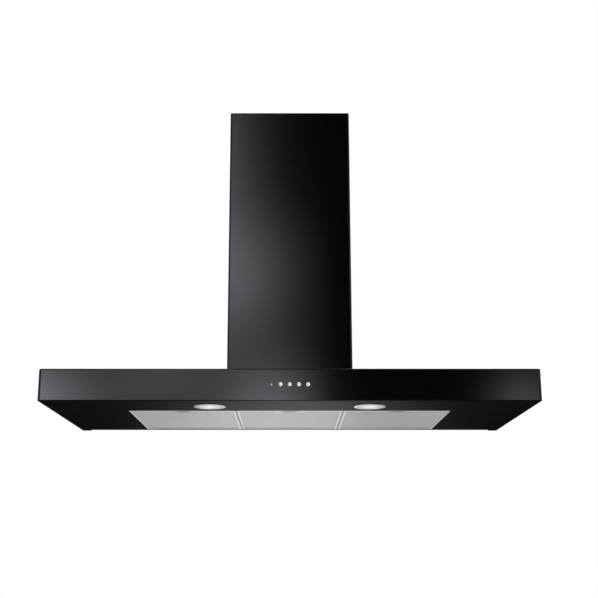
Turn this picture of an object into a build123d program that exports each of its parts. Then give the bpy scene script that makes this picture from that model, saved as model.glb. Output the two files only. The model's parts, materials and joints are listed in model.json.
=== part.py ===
from build123d import *
import os
from math import cos, radians, sin

# Wall-mounted range hood: a flat box canopy with three grease filters, a blower in a steel box above it,
# and a telescopic flue that hides the blower and the duct.
# Millimetres, +Z up, +X to the right of someone facing the hood, +Y into the wall, which is the plane y = 0.
# Heights are measured from the canopy's lower edge. The finished pieces are lowered by WALL_POINT_HEIGHT,
# so that the origin is the middle of the face that lies on the wall.

# Canopy, bent from one sheet, with a hemmed rim folded inwards along the front and the sides
CANOPY_WIDTH = 1098.0
CANOPY_DEPTH = 500.0
CANOPY_HEIGHT = 71.0
SHEET = 1.0
CORNER_BEND = 7.0
TOP_BEND = 3.0
RIM_BEND = 1.8
RIM_WIDTH = 23.0
RIM_HEM = 2.0
WALL_POINT_HEIGHT = 36.0

# Rear panel in three strips, with a hanger plate in each gap that carries the hood on the wall
FIXING_HOLE_RADIUS = 4.0
FIXING_HOLE_X = 420.0
KEYHOLE_X = 230.0
KEYHOLE_HEAD_RADIUS = 7.0
KEYHOLE_SLOT_RADIUS = 4.0
KEYHOLE_RISE = 14.0
HANGER_WIDTH = 32.0
RAIL_LEG = 12.0
RAIL_BEND = 2.0

# Underside pan, which lies on the rim
PAN_PLAY = 0.5
PAN_UPSTAND = 20.0
FILTER_OPENING_FRONT = -340.0
FILTER_OPENING_REAR = -12.0
FILTER_OPENING_WIDTH = 751.0
OPENING_FLANGE = 9.0

# Grease filters: a channel frame round two facing sheets and a folded core
FILTER_WIDTH = 248.0
FILTER_LENGTH = 325.0
FILTER_THICKNESS = 9.0
FILTER_PITCH = 250.0
FRAME_WALL = 1.2
FRAME_LIP = 12.0
FRAME_SIDE_LIP = 7.0
MESH_PLAY = 0.3
CHANNEL_PLAY = 0.05
FACING = 0.8
FOLD_PITCH = 14.0
FOLD_WALL = 0.6
TAB_WIDTH = 20.0
TAB_REACH = 8.5
TAB_OFFSET = 80.0
TAB_LIFT = 0.4
TAB_ROUND = 3.0

# Filter latch: a slider in a sheet pocket behind the front rail, with a tongue that reaches over the pan
LATCH_POCKET = (72.0, 36.8)
POCKET_WALL = 0.8
LATCH_WINDOW = (34.0, 22.0)
LATCH_WINDOW_START = 8.0
LATCH_SLIDER = (52.0, 25.0)
LATCH_SLIDER_START = 2.0
LATCH_SLIDER_WALL = 1.5
LATCH_FINGER_HOLE = (28.0, 11.0)
LATCH_FINGER_START = 9.5
LATCH_RIB_X = 23.0
LATCH_TONGUE_WIDTH = 24.0
LATCH_TONGUE_WAY = 25.2
LATCH_TONGUE_REACH = 5.5
LATCH_TONGUE_LIFT = 0.2
LATCH_TONGUE_BEVEL = 0.9
LATCH_PLAY = 0.3

# Lamps: a turned bezel under the pan, a crowned glass on its ledge, a spun reflector and a capsule bulb
LAMP_X = 181.0
LAMP_Y = -407.0
LAMP_HOLE_RADIUS = 32.0
BEZEL_RADIUS = 36.0
BEZEL_BORE = 27.6
BEZEL_DROP = 1.5
BEZEL_BEVEL = (1.4, 0.8)
BEZEL_LEDGE = 2.2
SLEEVE_RADIUS = 31.4
SLEEVE_WALL = 1.4
SLEEVE_TOP = 14.0
GLASS_PLAY = 0.4
GLASS_THICKNESS = 2.0
GLASS_CROWN = 1.0
REFLECTOR_WALL = 1.0
REFLECTOR_CROWN = (11.0, 40.0)
REFLECTOR_HOLE = 5.2
BULB_RADIUS = 4.2
BULB_TIP = 20.0
BULB_NECK = (4.9, 34.0)
HOLDER_FLANGE = (9.0, 3.0)
HOLDER_RADIUS = 7.0
HOLDER_TOP = 54.0

# Controls: push-buttons and an indicator on the front, a moulded housing behind it and a board in its back
BUTTON_PITCH = 20.0
BUTTON_HEIGHT = 35.5
BUTTON_RADIUS = 4.8
BUTTON_PROUD = 2.4
BUTTON_BEVEL = 0.6
BUTTON_DISH = 0.5
BUTTON_PLAY = 0.4
BUTTON_FLANGE_RADIUS = 6.3
BUTTON_FLANGE = (1.4, 2.6)
BUTTON_POCKET = 7.0
FLANGE_PLAY = 0.7
STEM_RADIUS = 2.0
STEM_END = 14.2
INDICATOR_RADIUS = 1.9
INDICATOR_PROUD = 0.6
INDICATOR_FLANGE = 1.4
INDICATOR_POCKET = 1.2
INDICATOR_END = 16.0
INDICATOR_PLAY = 0.3
HOUSING_SIZE = (112.0, 27.0, 28.0)
HOUSING_CORNER = 3.0
SWITCH_ROOM = 11.0
BOARD_SIZE = (105.0, 1.6, 21.0)
BOARD_PLACE = 19.0
BOARD_PLAY = 1.0
BOARD_LEDGE = 2.0
SWITCH_WIDTH = 6.0
SWITCH_DEPTH = 3.5
BOARD_LAMP_RADIUS = 1.5
BOARD_LAMP_LENGTH = 3.0

# Flues: channels with returns along the wall, the upper one inside the lower one, with slots near its top
FLUE_WIDTH = 304.0
FLUE_DEPTH = 275.0
FLUE_TOP = 782.0
FLUE_BEND = 5.0
FLUE_RETURN = 25.0
FLUE_NESTING = 3.0
FLUE_TAB = 10.0
FLUE_SIDE_TAB = (-220.0, -60.0)
FLUE_FRONT_TAB = 200.0
STOP_TAB = 20.0
STOP_TAB_WIDTH = 80.0
STOP_GAP = 0.3
VENT_SLOT = (60.0, 5.0)
VENT_PITCH = (80.0, 12.0)
VENT_COLUMNS = 2
VENT_ROWS = 5
VENT_DROP = 70.0
BRACKET_WALL = 1.5
BRACKET_BEND = 2.5
BRACKET_RANGE = (738.0, 774.0)
BRACKET_JOGGLE = 6.5
BRACKET_SLOPE = 8.0
BRACKET_STRAP = 106.0
BRACKET_EAR = 50.0
BRACKET_HOLE_X = 70.0
BRACKET_HOLE_RADIUS = 3.5
BRACKET_SCREW_Y = -32.0

# Motor box over the opening in the canopy's top
BOX_X = 140.0
BOX_Y = (-262.0, -12.0)
BOX_TOP = 351.0
BOX_BEND = 3.0
GASKET = 1.5
BLOWER_Y = -137.0
BLOWER_OPENING = (250.0, 220.0)
OPENING_CORNER = 10.0

# Blower: a scroll of quarter arcs about a small square, with a straight throat up to the box top
SCROLL_X = -49.0
SCROLL_Z = 190.0
SCROLL_STEP = 8.0
SCROLL_FIRST_RADIUS = 82.0
SCROLL_WALL = 2.0
SCROLL_HALF_DEPTH = 60.0
TONGUE_ROUND = 4.0
BOSS_RADIUS = 5.0
BOSS_LENGTH = 12.0
BOSS_OFFSET = 3.5
THROAT_BOSS_Z = 312.0
THROAT_FLANGE = 8.0
THROAT_FLANGE_WALL = 3.0
THROAT_FLANGE_CORNER = 6.0
INLET_RADIUS = 60.0

# Impeller and motor, on one axis through the middle of the scroll
IMPELLER_RADIUS = 72.0
IMPELLER_HALF_WIDTH = 51.0
BLADE_COUNT = 36
BLADE_INNER_RADIUS = 58.0
BLADE_INSET = 0.5
BLADE_WALL = 1.3
BLADE_SWEEP = 13.0
BLADE_LEAD = 0.25
END_RING_WALL = 2.0
END_RING_INSET = 3.0
DISC_WALL = 2.0
HUB_RADIUS = 11.0
HUB_FLARE = 2.0
HUB_LENGTH = 16.0
SHAFT_RADIUS = 4.0
SHAFT_FIT = 0.05
SHAFT_PROUD = 1.0
SHAFT_END_GAP = 2.0
MOTOR_RADIUS = 46.0
MOTOR_FRONT = 8.0
MOTOR_LENGTH = 61.0
MOTOR_ROUND = 8.0
BEARING_RADIUS = 16.0
BEARING_PROUD = 3.0
BEARING_CAP = 3.0
BEARING_PLAY = 0.3
SPIDER_WALL = 2.0
SPIDER_RING = (1.0, 15.0)
SPIDER_ARMS = 3
SPIDER_ARM_WIDTH = 14.0
SPIDER_TURN = 30.0
MOTOR_SLEEVE = 16.0
MOTOR_SLEEVE_PLAY = 0.3

# Electrical pieces on the motor box's right wall, and the gland in its top
CAPACITOR_RADIUS = 15.0
CAPACITOR_LENGTH = 58.0
CAPACITOR_ROUND = 1.5
CAPACITOR_STUD = (4.0, 4.0)
CAPACITOR_AXIS = 18.0
CAPACITOR_PLACE = (-60.0, 98.0)
CAPACITOR_FOOT = (4.0, 36.0)
CAPACITOR_FOOT_Z = (108.0, 148.0)
FOOT_CORNER = 4.0
TERMINAL_DEPTH = 40.0
TERMINAL_Y = (-232.0, -132.0)
TERMINAL_Z = (196.0, 286.0)
TERMINAL_WALL = 2.0
TERMINAL_CORNER = 4.0
LID_WALL = 3.0
LID_LIP = 3.0
LID_PLAY = 0.5
CORE_DEPTH = 30.0
CORE_Y = (-114.0, -44.0)
CORE_Z = (196.0, 252.0)
WINDING_PROUD = 8.0
WINDING_MARGIN = (14.0, 8.0)
WINDING_ROUND = 6.0
GLAND_PLACE = (110.0, BLOWER_Y)
GLAND_HOLE_RADIUS = 7.0
GLAND_PLAY = 0.2
GLAND_BORE = 4.2
GLAND_TIP = (6.0, 10.0)
GLAND_CONE_RADIUS = 8.0
GLAND_FLANGE = (10.5, 3.0)
GLAND_NUT = 5.0

# Duct collar on the motor box, with two damper flaps on one spindle
COLLAR_RADIUS = 74.5
COLLAR_WALL = 2.0
COLLAR_FLANGE = 3.0
COLLAR_FLANGE_SIZE = 166.0
COLLAR_FLANGE_CORNER = 12.0
COLLAR_THROAT_CORNER = 8.0
COLLAR_TUBE = 68.0
DAMPER_RISE = 46.0
SPINDLE_RADIUS = 2.0
SPINDLE_FIT = 0.08
SPINDLE_INSET = 0.6
KNUCKLE_RADIUS = 4.0
KNUCKLE_LENGTH = 15.0
KNUCKLE_COUNT = 8
KNUCKLE_GAP = 0.6
FLAP_WALL = 1.5
FLAP_PLAY = 0.7
SEAT_WIDTH = 3.5
SEAT_WALL = 2.0
SEAT_GAP = 0.3

# Screws, with their lengths under the head and their places
SCREW_RADIUS = 1.9
THIN_SCREW_RADIUS = 1.4
SCREW_PLAY = 0.15
SCREW_HEAD_RADIUS = 3.6
SCREW_HEAD = 2.2
LOW_HEAD = 1.2
HEAD_CROWN = 0.6
HEAD_EDGE = 0.4
PAN_SCREW = 1.9
FLUE_SCREW = 5.0
BRACKET_SCREW = 5.0
BOX_SCREW = 7.0
COLLAR_SCREW = 9.0
SCROLL_SCREW = 22.0
PAN_SCREW_X = (400.0, 505.0)
PAN_SCREW_HEIGHT = 13.0
FLUE_SIDE_SCREWS = (146.0, (-190.0, -90.0))
FLUE_FRONT_SCREWS = (60.0, -269.0)
BOX_SCREW_X = 132.0
BOX_SCREW_STEP = 83.0
COLLAR_SCREW_OFFSET = (59.0, 64.0)

# How far a cut runs past the face that it opens, and a tab or web into the wall that it grows from
CUT_PAST = 1.0
FUSE_LAP = 0.5

# Heights, faces and places that follow from the sizes above
FRONT = -CANOPY_DEPTH
FRONT_INSIDE = FRONT + SHEET
TOP_INSIDE = CANOPY_HEIGHT - SHEET
PAN_TOP = RIM_HEM + SHEET
BOX_BASE = CANOPY_HEIGHT + GASKET
BOX_CEILING = BOX_TOP - SHEET
BOX_RIGHT = BOX_X - SHEET
FILTER_REAR = FILTER_OPENING_REAR - (FILTER_OPENING_REAR - FILTER_OPENING_FRONT - FILTER_LENGTH) / 2
FILTER_FRONT = FILTER_REAR - FILTER_LENGTH
FILTER_TOP = RIM_HEM + FILTER_THICKNESS
FILTER_LOW = RIM_HEM + FRAME_WALL
POCKET_LOW = FILTER_LOW + CHANNEL_PLAY
POCKET_HIGH = FILTER_TOP - FRAME_WALL - CHANNEL_PLAY
LATCH_LOW = POCKET_LOW + POCKET_WALL + LATCH_PLAY
LATCH_HIGH = LATCH_LOW + LATCH_SLIDER_WALL
LAMP_LEDGE = RIM_HEM - BEZEL_DROP + BEZEL_LEDGE
SLEEVE_BORE = SLEEVE_RADIUS - SLEEVE_WALL
GLASS_TOP = LAMP_LEDGE + GLASS_THICKNESS
THROAT_WIDTH = SCROLL_FIRST_RADIUS + 3 * SCROLL_STEP
UPPER_FLUE_WIDTH = FLUE_WIDTH - 2 * FLUE_NESTING
UPPER_FLUE_FOOT = BOX_TOP + STOP_GAP
BRACKET_MIDDLE = sum(BRACKET_RANGE) / 2
COLLAR_SEAT = BOX_TOP + COLLAR_FLANGE
DAMPER_Z = COLLAR_SEAT + DAMPER_RISE
SIDES = {"left": -1, "right": 1}
FILTER_PLACES = {"left": -FILTER_PITCH, "centre": 0.0, "right": FILTER_PITCH}
BUTTON_PLACES = [BUTTON_PITCH * step for step in (-1, 0, 1, 2)]
INDICATOR_PLACE = -2 * BUTTON_PITCH
PAN_SCREW_PLACES = [side * x for side in (-1, 1) for x in PAN_SCREW_X]
FLUE_SCREW_PLACES = [(side * FLUE_SIDE_SCREWS[0], y) for side in (-1, 1) for y in FLUE_SIDE_SCREWS[1]]
FLUE_SCREW_PLACES += [(side * FLUE_FRONT_SCREWS[0], FLUE_FRONT_SCREWS[1]) for side in (-1, 1)]
BOX_SCREW_PLACES = [
    (side * BOX_SCREW_X, BLOWER_Y + step * BOX_SCREW_STEP) for side in (-1, 1) for step in (-1, 0, 1)
]
COLLAR_SCREW_PLACES = [
    (sx * COLLAR_SCREW_OFFSET[0], BLOWER_Y + sy * COLLAR_SCREW_OFFSET[1]) for sx in (-1, 1) for sy in (-1, 1)
]


def centred(middle, size):
    """The (low, high) range of this size about a middle."""
    return (middle - size / 2, middle + size / 2)


def shrunk(span, margin):
    """A range that is smaller by margin at both ends."""
    return (span[0] + margin, span[1] - margin)


def block(x, y, z):
    """A box between three (low, high) ranges."""
    ranges = (x, y, z)
    size = [high - low for low, high in ranges]
    middle = [(low + high) / 2 for low, high in ranges]
    return Pos(*middle) * Box(*size)


def inset(margin, *spans):
    """A box inset by margin from three ranges."""
    return block(*[shrunk(span, margin) for span in spans])


def rod(start, end, radius):
    """A round rod, or the bore for one, between two points."""
    run = Vector(end) - Vector(start)
    return extrude(Plane(origin=start, z_dir=run) * Circle(radius), run.length)


def turned(*lines):
    """A solid of revolution about Z from lines that enclose a half section in (radius, height)."""
    edges = [edge for line in lines for edge in line.edges()]
    return revolve(Plane.XZ * make_face(edges), Axis.Z)


def polar(radius, degrees):
    """A point of the XY plane at this radius and angle."""
    return (radius * cos(radians(degrees)), radius * sin(radians(degrees)))


def screw(seat, direction, length, radius=SCREW_RADIUS, head=SCREW_HEAD):
    """A domed screw: seat is the point under its head, and its shank runs along direction."""
    head_radius = SCREW_HEAD_RADIUS * radius / SCREW_RADIUS
    outline = Polyline(
        (0, -head), (HEAD_CROWN * head_radius, -head), (head_radius, -HEAD_EDGE * head), (head_radius, 0),
        (radius, 0), (radius, length - radius / 2), (radius / 2, length), (0, length),
        close=True,
    )
    return Plane(origin=seat, z_dir=direction) * turned(outline)


def screw_hole(x, y, low, high, radius=SCREW_RADIUS):
    """An upright clearance hole for a screw."""
    return rod((x, y, low), (x, y, high), radius + SCREW_PLAY)


def wall_hole(x, height, radius, depth=SHEET):
    """A hole through a sheet, or several, that reach depth out from the wall."""
    return rod((x, CUT_PAST, height), (x, -depth - CUT_PAST, height), radius)


def front_hole(x, radius):
    """A hole through the canopy's front at the height of the buttons."""
    return rod((x, FRONT - CUT_PAST, BUTTON_HEIGHT), (x, FRONT_INSIDE + CUT_PAST, BUTTON_HEIGHT), radius)


def group(pieces):
    """Separate solids that share one node."""
    return Compound([solid for piece in pieces for solid in piece.solids()])


def bent_strip(line, wall=SHEET, side=Side.LEFT):
    """The section of a sheet on one side of a bent line."""
    return make_face(offset(line, wall, side=side).edges())


def bent_box(width, depth, height, corner, top):
    """A box on z = 0 with its back at y = 0, whose front corners and top edges are sheet bends."""
    box = block(centred(0, width), (-depth, 0), (0, height))
    box = fillet(box.edges().filter_by(Axis.Z).group_by(Axis.Y)[0], corner)
    top_edges = box.faces().sort_by(Axis.Z)[-1].edges().group_by(Axis.Y)[:-1]
    return fillet([edge for edges in top_edges for edge in edges], top)


def canopy_shell():
    """Top, front and sides in one sheet, with the rim turned in below; the back is open."""
    outside = bent_box(CANOPY_WIDTH, CANOPY_DEPTH, CANOPY_HEIGHT, CORNER_BEND, TOP_BEND)
    bottom_edges = outside.faces().sort_by(Axis.Z)[0].edges().group_by(Axis.Y)[:-1]
    outside = fillet([edge for edges in bottom_edges for edge in edges], RIM_BEND)
    inside = bent_box(
        CANOPY_WIDTH - 2 * SHEET,
        CANOPY_DEPTH - SHEET + CUT_PAST,
        TOP_INSIDE - RIM_HEM,
        CORNER_BEND - SHEET,
        TOP_BEND - SHEET,
    )
    mouth_x = centred(0, CANOPY_WIDTH - 2 * RIM_WIDTH)
    mouth = block(mouth_x, (FRONT + RIM_WIDTH, CUT_PAST), (-CUT_PAST, RIM_HEM))
    shell = outside - Pos(0, CUT_PAST, RIM_HEM) * inside - mouth
    shell -= blower_opening(TOP_INSIDE, CANOPY_HEIGHT)
    for x in BUTTON_PLACES:
        shell -= front_hole(x, BUTTON_RADIUS + BUTTON_PLAY)
    shell -= front_hole(INDICATOR_PLACE, INDICATOR_RADIUS + INDICATOR_PLAY)
    for x, y in BOX_SCREW_PLACES + FLUE_SCREW_PLACES:
        shell -= screw_hole(x, y, TOP_INSIDE, CANOPY_HEIGHT)
    return shell


def blower_opening(low, high):
    """The rounded air opening between the canopy and the motor box."""
    outline = Pos(0, BLOWER_Y, low) * RectangleRounded(*BLOWER_OPENING, OPENING_CORNER)
    return extrude(outline, high - low)


def rear_panel():
    """Three upright strips on the wall, with two fixing holes and a gap for each hanger plate."""
    sheet = block(centred(0, CANOPY_WIDTH - 2 * TOP_BEND), (-SHEET, 0), (RIM_HEM, TOP_INSIDE))
    for side in SIDES.values():
        sheet -= wall_hole(side * FIXING_HOLE_X, WALL_POINT_HEIGHT, FIXING_HOLE_RADIUS)
        sheet -= hanger_blank(side * KEYHOLE_X)
    for x in PAN_SCREW_PLACES:
        sheet -= wall_hole(x, PAN_SCREW_HEIGHT, SCREW_RADIUS + SCREW_PLAY)
    return group([sheet])


def hanger_blank(x):
    """The upright strip that a hanger plate is cut from."""
    return block(centred(x, HANGER_WIDTH), (-SHEET, 0), (RIM_HEM, TOP_INSIDE))


def hanger_plate(x):
    """A narrow plate with a keyhole, welded to the rail above and the pan's upstand below."""
    return hanger_blank(x) - keyhole(x)


def keyhole(x):
    """A round hole for a screw head with a slot above it for the shank."""
    low, high = centred(WALL_POINT_HEIGHT, KEYHOLE_RISE)
    slot = block(centred(x, 2 * KEYHOLE_SLOT_RADIUS), (-SHEET - CUT_PAST, CUT_PAST), (low, high))
    return wall_hole(x, low, KEYHOLE_HEAD_RADIUS) + slot + wall_hole(x, high, KEYHOLE_SLOT_RADIUS)


def rear_rail():
    """An angle that joins the strips and the hanger plates below the canopy's top."""
    half = CANOPY_WIDTH / 2 - TOP_BEND
    foot = (-SHEET, TOP_INSIDE - RAIL_LEG)
    toe = (-SHEET - RAIL_LEG, TOP_INSIDE)
    line = FilletPolyline(foot, (-SHEET, TOP_INSIDE), toe, radius=RAIL_BEND)
    section = Plane(origin=(-half, 0, 0), x_dir=(0, 1, 0), z_dir=(1, 0, 0)) * bent_strip(line)
    return extrude(section, 2 * half)


def underside_pan():
    """The tray under the canopy: lamp holes, a filter opening with folded sides and a rear upstand."""
    span_x = centred(0, CANOPY_WIDTH - 2 * (SHEET + PAN_PLAY))
    plate = block(span_x, (FRONT_INSIDE + PAN_PLAY, -SHEET), (RIM_HEM, PAN_TOP))
    plate = fillet(plate.edges().filter_by(Axis.Z).group_by(Axis.Y)[0], CORNER_BEND)
    upstand = block(span_x, (-2 * SHEET, -SHEET), (PAN_TOP, PAN_TOP + PAN_UPSTAND))
    opening_y = (FILTER_OPENING_FRONT, FILTER_OPENING_REAR)
    pan = plate + upstand - block(centred(0, FILTER_OPENING_WIDTH), opening_y, (RIM_HEM, PAN_TOP))
    for side in SIDES.values():
        flange_x = centred(side * (FILTER_OPENING_WIDTH + SHEET) / 2, SHEET)
        pan += block(flange_x, opening_y, (RIM_HEM, PAN_TOP + OPENING_FLANGE))
        pan -= screw_hole(side * LAMP_X, LAMP_Y, RIM_HEM, PAN_TOP, LAMP_HOLE_RADIUS)
    for x in PAN_SCREW_PLACES:
        pan -= wall_hole(x, PAN_SCREW_HEIGHT, SCREW_RADIUS + SCREW_PLAY, 2 * SHEET)
    return pan


def filter_frame(x):
    """A channel round the mesh, cut out for the latch, with two tabs over the pan's rear strip."""
    span_x = centred(x, FILTER_WIDTH)
    span_y = (FILTER_FRONT, FILTER_REAR)
    span_z = (RIM_HEM, FILTER_TOP)
    frame = block(span_x, span_y, span_z) - inset(FRAME_WALL, span_x, span_y, span_z)
    frame -= block(shrunk(span_x, FRAME_SIDE_LIP), shrunk(span_y, FRAME_LIP), span_z)
    frame -= block(*latch_range(x, LATCH_WINDOW, LATCH_WINDOW_START), (RIM_HEM, FILTER_LOW))
    tongue_slot = latch_range(x, (LATCH_TONGUE_WAY, FRAME_WALL), 0)
    frame -= block(*tongue_slot, (FILTER_LOW, LATCH_HIGH + LATCH_PLAY))
    tab_y = (FILTER_REAR - FRAME_WALL, FILTER_REAR + TAB_REACH)
    tab_z = (PAN_TOP + TAB_LIFT, PAN_TOP + TAB_LIFT + SHEET)
    for side in SIDES.values():
        tab = block(centred(x + side * TAB_OFFSET, TAB_WIDTH), tab_y, tab_z)
        frame += fillet(tab.edges().filter_by(Axis.Z).group_by(Axis.Y)[-1], TAB_ROUND)
    return frame


def latch_range(x, size, start):
    """The X and Y ranges of something in the latch pocket, start behind the filter's front edge."""
    width, length = size
    return centred(x, width), (FILTER_FRONT + start, FILTER_FRONT + start + length)


def latch_pocket(x):
    """A sheet cup in the channel's front rail, with a window for a finger and two ribs over the slider."""
    span_x, span_y = latch_range(x, LATCH_POCKET, FRAME_WALL)
    hollow_y = (span_y[0], span_y[1] - POCKET_WALL)
    hollow_z = shrunk((POCKET_LOW, POCKET_HIGH), POCKET_WALL)
    pocket = block(span_x, span_y, (POCKET_LOW, POCKET_HIGH))
    pocket -= block(shrunk(span_x, POCKET_WALL), hollow_y, hollow_z)
    floor_z = (POCKET_LOW, POCKET_LOW + POCKET_WALL)
    pocket -= block(*latch_range(x, LATCH_WINDOW, LATCH_WINDOW_START), floor_z)
    pocket -= block(*latch_range(x, (LATCH_TONGUE_WAY, LATCH_WINDOW_START), 0), floor_z)
    rib_y = (span_y[0] + POCKET_WALL, hollow_y[1])
    rib_z = (LATCH_HIGH + LATCH_PLAY, hollow_z[1])
    for side in SIDES.values():
        pocket += block(centred(x + side * LATCH_RIB_X, 2 * POCKET_WALL), rib_y, rib_z)
    return pocket


def filter_mesh(x):
    """Two facing sheets with a folded sheet between them, notched round the latch pocket."""
    span_x = shrunk(centred(x, FILTER_WIDTH), FRAME_WALL + MESH_PLAY)
    span_y = shrunk((FILTER_FRONT, FILTER_REAR), FRAME_WALL + MESH_PLAY)
    low = POCKET_LOW
    high = POCKET_HIGH
    notch_size = (LATCH_POCKET[0] + 2 * MESH_PLAY, LATCH_POCKET[1] + FRAME_WALL + MESH_PLAY)
    notch = block(*latch_range(x, notch_size, 0), (low, high))
    lower = block(span_x, span_y, (low, low + FACING))
    upper = block(span_x, span_y, (high - FACING, high))
    core = folded_core(x, span_x, span_y, (low + FACING, high - FACING))
    return group([lower - notch, core - notch, upper - notch])


def folded_core(x, span_x, span_y, span_z):
    """A sheet folded to and fro between the facings, each crest and trough a short flat."""
    low, high = span_z
    folds = int((span_x[1] - span_x[0]) / FOLD_PITCH)
    start = x - folds * FOLD_PITCH / 2
    crest = FOLD_PITCH / 4
    line = []
    for fold in range(folds):
        left = start + fold * FOLD_PITCH
        line += [(left, low), (left + crest, low), (left + 2 * crest, high - FOLD_WALL)]
        line += [(left + 3 * crest, high - FOLD_WALL)]
    line.append((start + folds * FOLD_PITCH, low))
    back = [(px, pz + FOLD_WALL) for px, pz in reversed(line)]
    section = Face(Wire.make_polygon([(px, span_y[1], pz) for px, pz in line + back]))
    return extrude(section, span_y[1] - span_y[0], dir=(0, -1, 0))


def filter_latch(x):
    """The slider: a plate with a finger hole, a lip to pull and a bevelled tongue over the pan's edge."""
    plate_x, plate_y = latch_range(x, LATCH_SLIDER, LATCH_SLIDER_START)
    hole_x, hole_y = latch_range(x, LATCH_FINGER_HOLE, LATCH_FINGER_START)
    slider = block(plate_x, plate_y, (LATCH_LOW, LATCH_HIGH))
    slider -= block(hole_x, hole_y, (LATCH_LOW, LATCH_HIGH))
    lip_y = (hole_y[1], hole_y[1] + LATCH_SLIDER_WALL)
    slider += block(hole_x, lip_y, (RIM_HEM + LATCH_PLAY, LATCH_HIGH))
    tongue_y = (FILTER_FRONT - LATCH_TONGUE_REACH, plate_y[0])
    tongue = block(centred(x, LATCH_TONGUE_WIDTH), tongue_y, (FILTER_LOW + LATCH_TONGUE_LIFT, LATCH_HIGH))
    nose = tongue.edges().filter_by(Axis.X).group_by(Axis.Y)[0].sort_by(Axis.Z)[-1]
    return slider + chamfer(nose, LATCH_TONGUE_BEVEL)


def lamp_bezel(x):
    """A turned ring under the pan with a sleeve up through its hole and a ledge for the glass."""
    face = RIM_HEM - BEZEL_DROP
    inward, upward = BEZEL_BEVEL
    outline = Polyline(
        (BEZEL_RADIUS, RIM_HEM), (BEZEL_RADIUS, face + upward), (BEZEL_RADIUS - inward, face),
        (BEZEL_BORE + inward, face), (BEZEL_BORE, face + upward), (BEZEL_BORE, LAMP_LEDGE),
        (SLEEVE_BORE, LAMP_LEDGE), (SLEEVE_BORE, SLEEVE_TOP), (SLEEVE_RADIUS, SLEEVE_TOP),
        (SLEEVE_RADIUS, RIM_HEM),
        close=True,
    )
    return Pos(x, LAMP_Y, 0) * turned(outline)


def lamp_glass(x):
    """A disc that lies on the bezel's ledge and swells slightly downwards in its bore."""
    edge = SLEEVE_BORE - GLASS_PLAY
    swell = TangentArc((0, LAMP_LEDGE - GLASS_CROWN), (BEZEL_BORE - GLASS_PLAY, LAMP_LEDGE), tangent=(1, 0))
    rest = Polyline(swell @ 1, (edge, LAMP_LEDGE), (edge, GLASS_TOP), (0, GLASS_TOP), swell @ 0)
    return Pos(x, LAMP_Y, 0) * turned(swell, rest)


def lamp_reflector(x):
    """A spun bowl above the glass with a hole in its crown for the bulb."""
    rim = SLEEVE_BORE - GLASS_PLAY
    crown_radius, crown = REFLECTOR_CROWN
    under_crown = crown - REFLECTOR_WALL
    inner_rim = rim - REFLECTOR_WALL
    outer_bowl = TangentArc((rim, SLEEVE_TOP), (crown_radius, crown), tangent=(0, 1))
    inner_bowl = TangentArc((inner_rim, SLEEVE_TOP), (crown_radius, under_crown), tangent=(0, 1))
    foot = Polyline(outer_bowl @ 0, (rim, GLASS_TOP), (inner_rim, GLASS_TOP), inner_bowl @ 0)
    hole = Polyline(outer_bowl @ 1, (REFLECTOR_HOLE, crown), (REFLECTOR_HOLE, under_crown), inner_bowl @ 1)
    return Pos(x, LAMP_Y, 0) * turned(outer_bowl, hole, inner_bowl, foot)


def lamp_bulb(x):
    """A capsule bulb with a round tip, in a ceramic holder whose flange lies on the reflector's crown."""
    crown = REFLECTOR_CROWN[1]
    neck_radius, neck = BULB_NECK
    flange_radius, flange = HOLDER_FLANGE
    tip = TangentArc((0, BULB_TIP), (BULB_RADIUS, BULB_TIP + BULB_RADIUS), tangent=(1, 0))
    rest = Polyline(
        tip @ 1, (BULB_RADIUS, neck), (neck_radius, neck), (neck_radius, crown), (flange_radius, crown),
        (flange_radius, crown + flange), (HOLDER_RADIUS, crown + flange), (HOLDER_RADIUS, HOLDER_TOP),
        (0, HOLDER_TOP), tip @ 0,
    )
    return Pos(x, LAMP_Y, 0) * turned(tip, rest)


def control_housing():
    """A moulded block behind the front, with a pocket and a guide per button and a recess for the board."""
    width, depth, height = HOUSING_SIZE
    body = block(centred(0, width), (FRONT_INSIDE, FRONT_INSIDE + depth), centred(BUTTON_HEIGHT, height))
    body = fillet(body.edges().filter_by(Axis.Y), HOUSING_CORNER)
    body -= board_room(SWITCH_ROOM, -BOARD_LEDGE)
    body -= board_room(BOARD_PLACE, BOARD_PLAY)
    guide = SWITCH_ROOM + CUT_PAST
    for x in BUTTON_PLACES:
        body -= control_bore(x, BUTTON_POCKET, BUTTON_FLANGE_RADIUS + FLANGE_PLAY)
        body -= control_bore(x, guide, STEM_RADIUS + BUTTON_PLAY)
    flange_radius = INDICATOR_RADIUS + INDICATOR_FLANGE
    body -= control_bore(INDICATOR_PLACE, INDICATOR_POCKET, flange_radius + BUTTON_PLAY)
    return body - control_bore(INDICATOR_PLACE, guide, INDICATOR_RADIUS + INDICATOR_PLAY)


def board_room(start, margin):
    """A recess in the housing's back, from start behind the front, wider than the board by margin."""
    width, _, height = BOARD_SIZE
    span_y = (FRONT_INSIDE + start, FRONT_INSIDE + HOUSING_SIZE[1])
    return block(centred(0, width + 2 * margin), span_y, centred(BUTTON_HEIGHT, height + 2 * margin))


def control_bore(x, depth, radius):
    """A bore into the control housing from the canopy's front."""
    return rod((x, FRONT_INSIDE, BUTTON_HEIGHT), (x, FRONT_INSIDE + depth, BUTTON_HEIGHT), radius)


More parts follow.
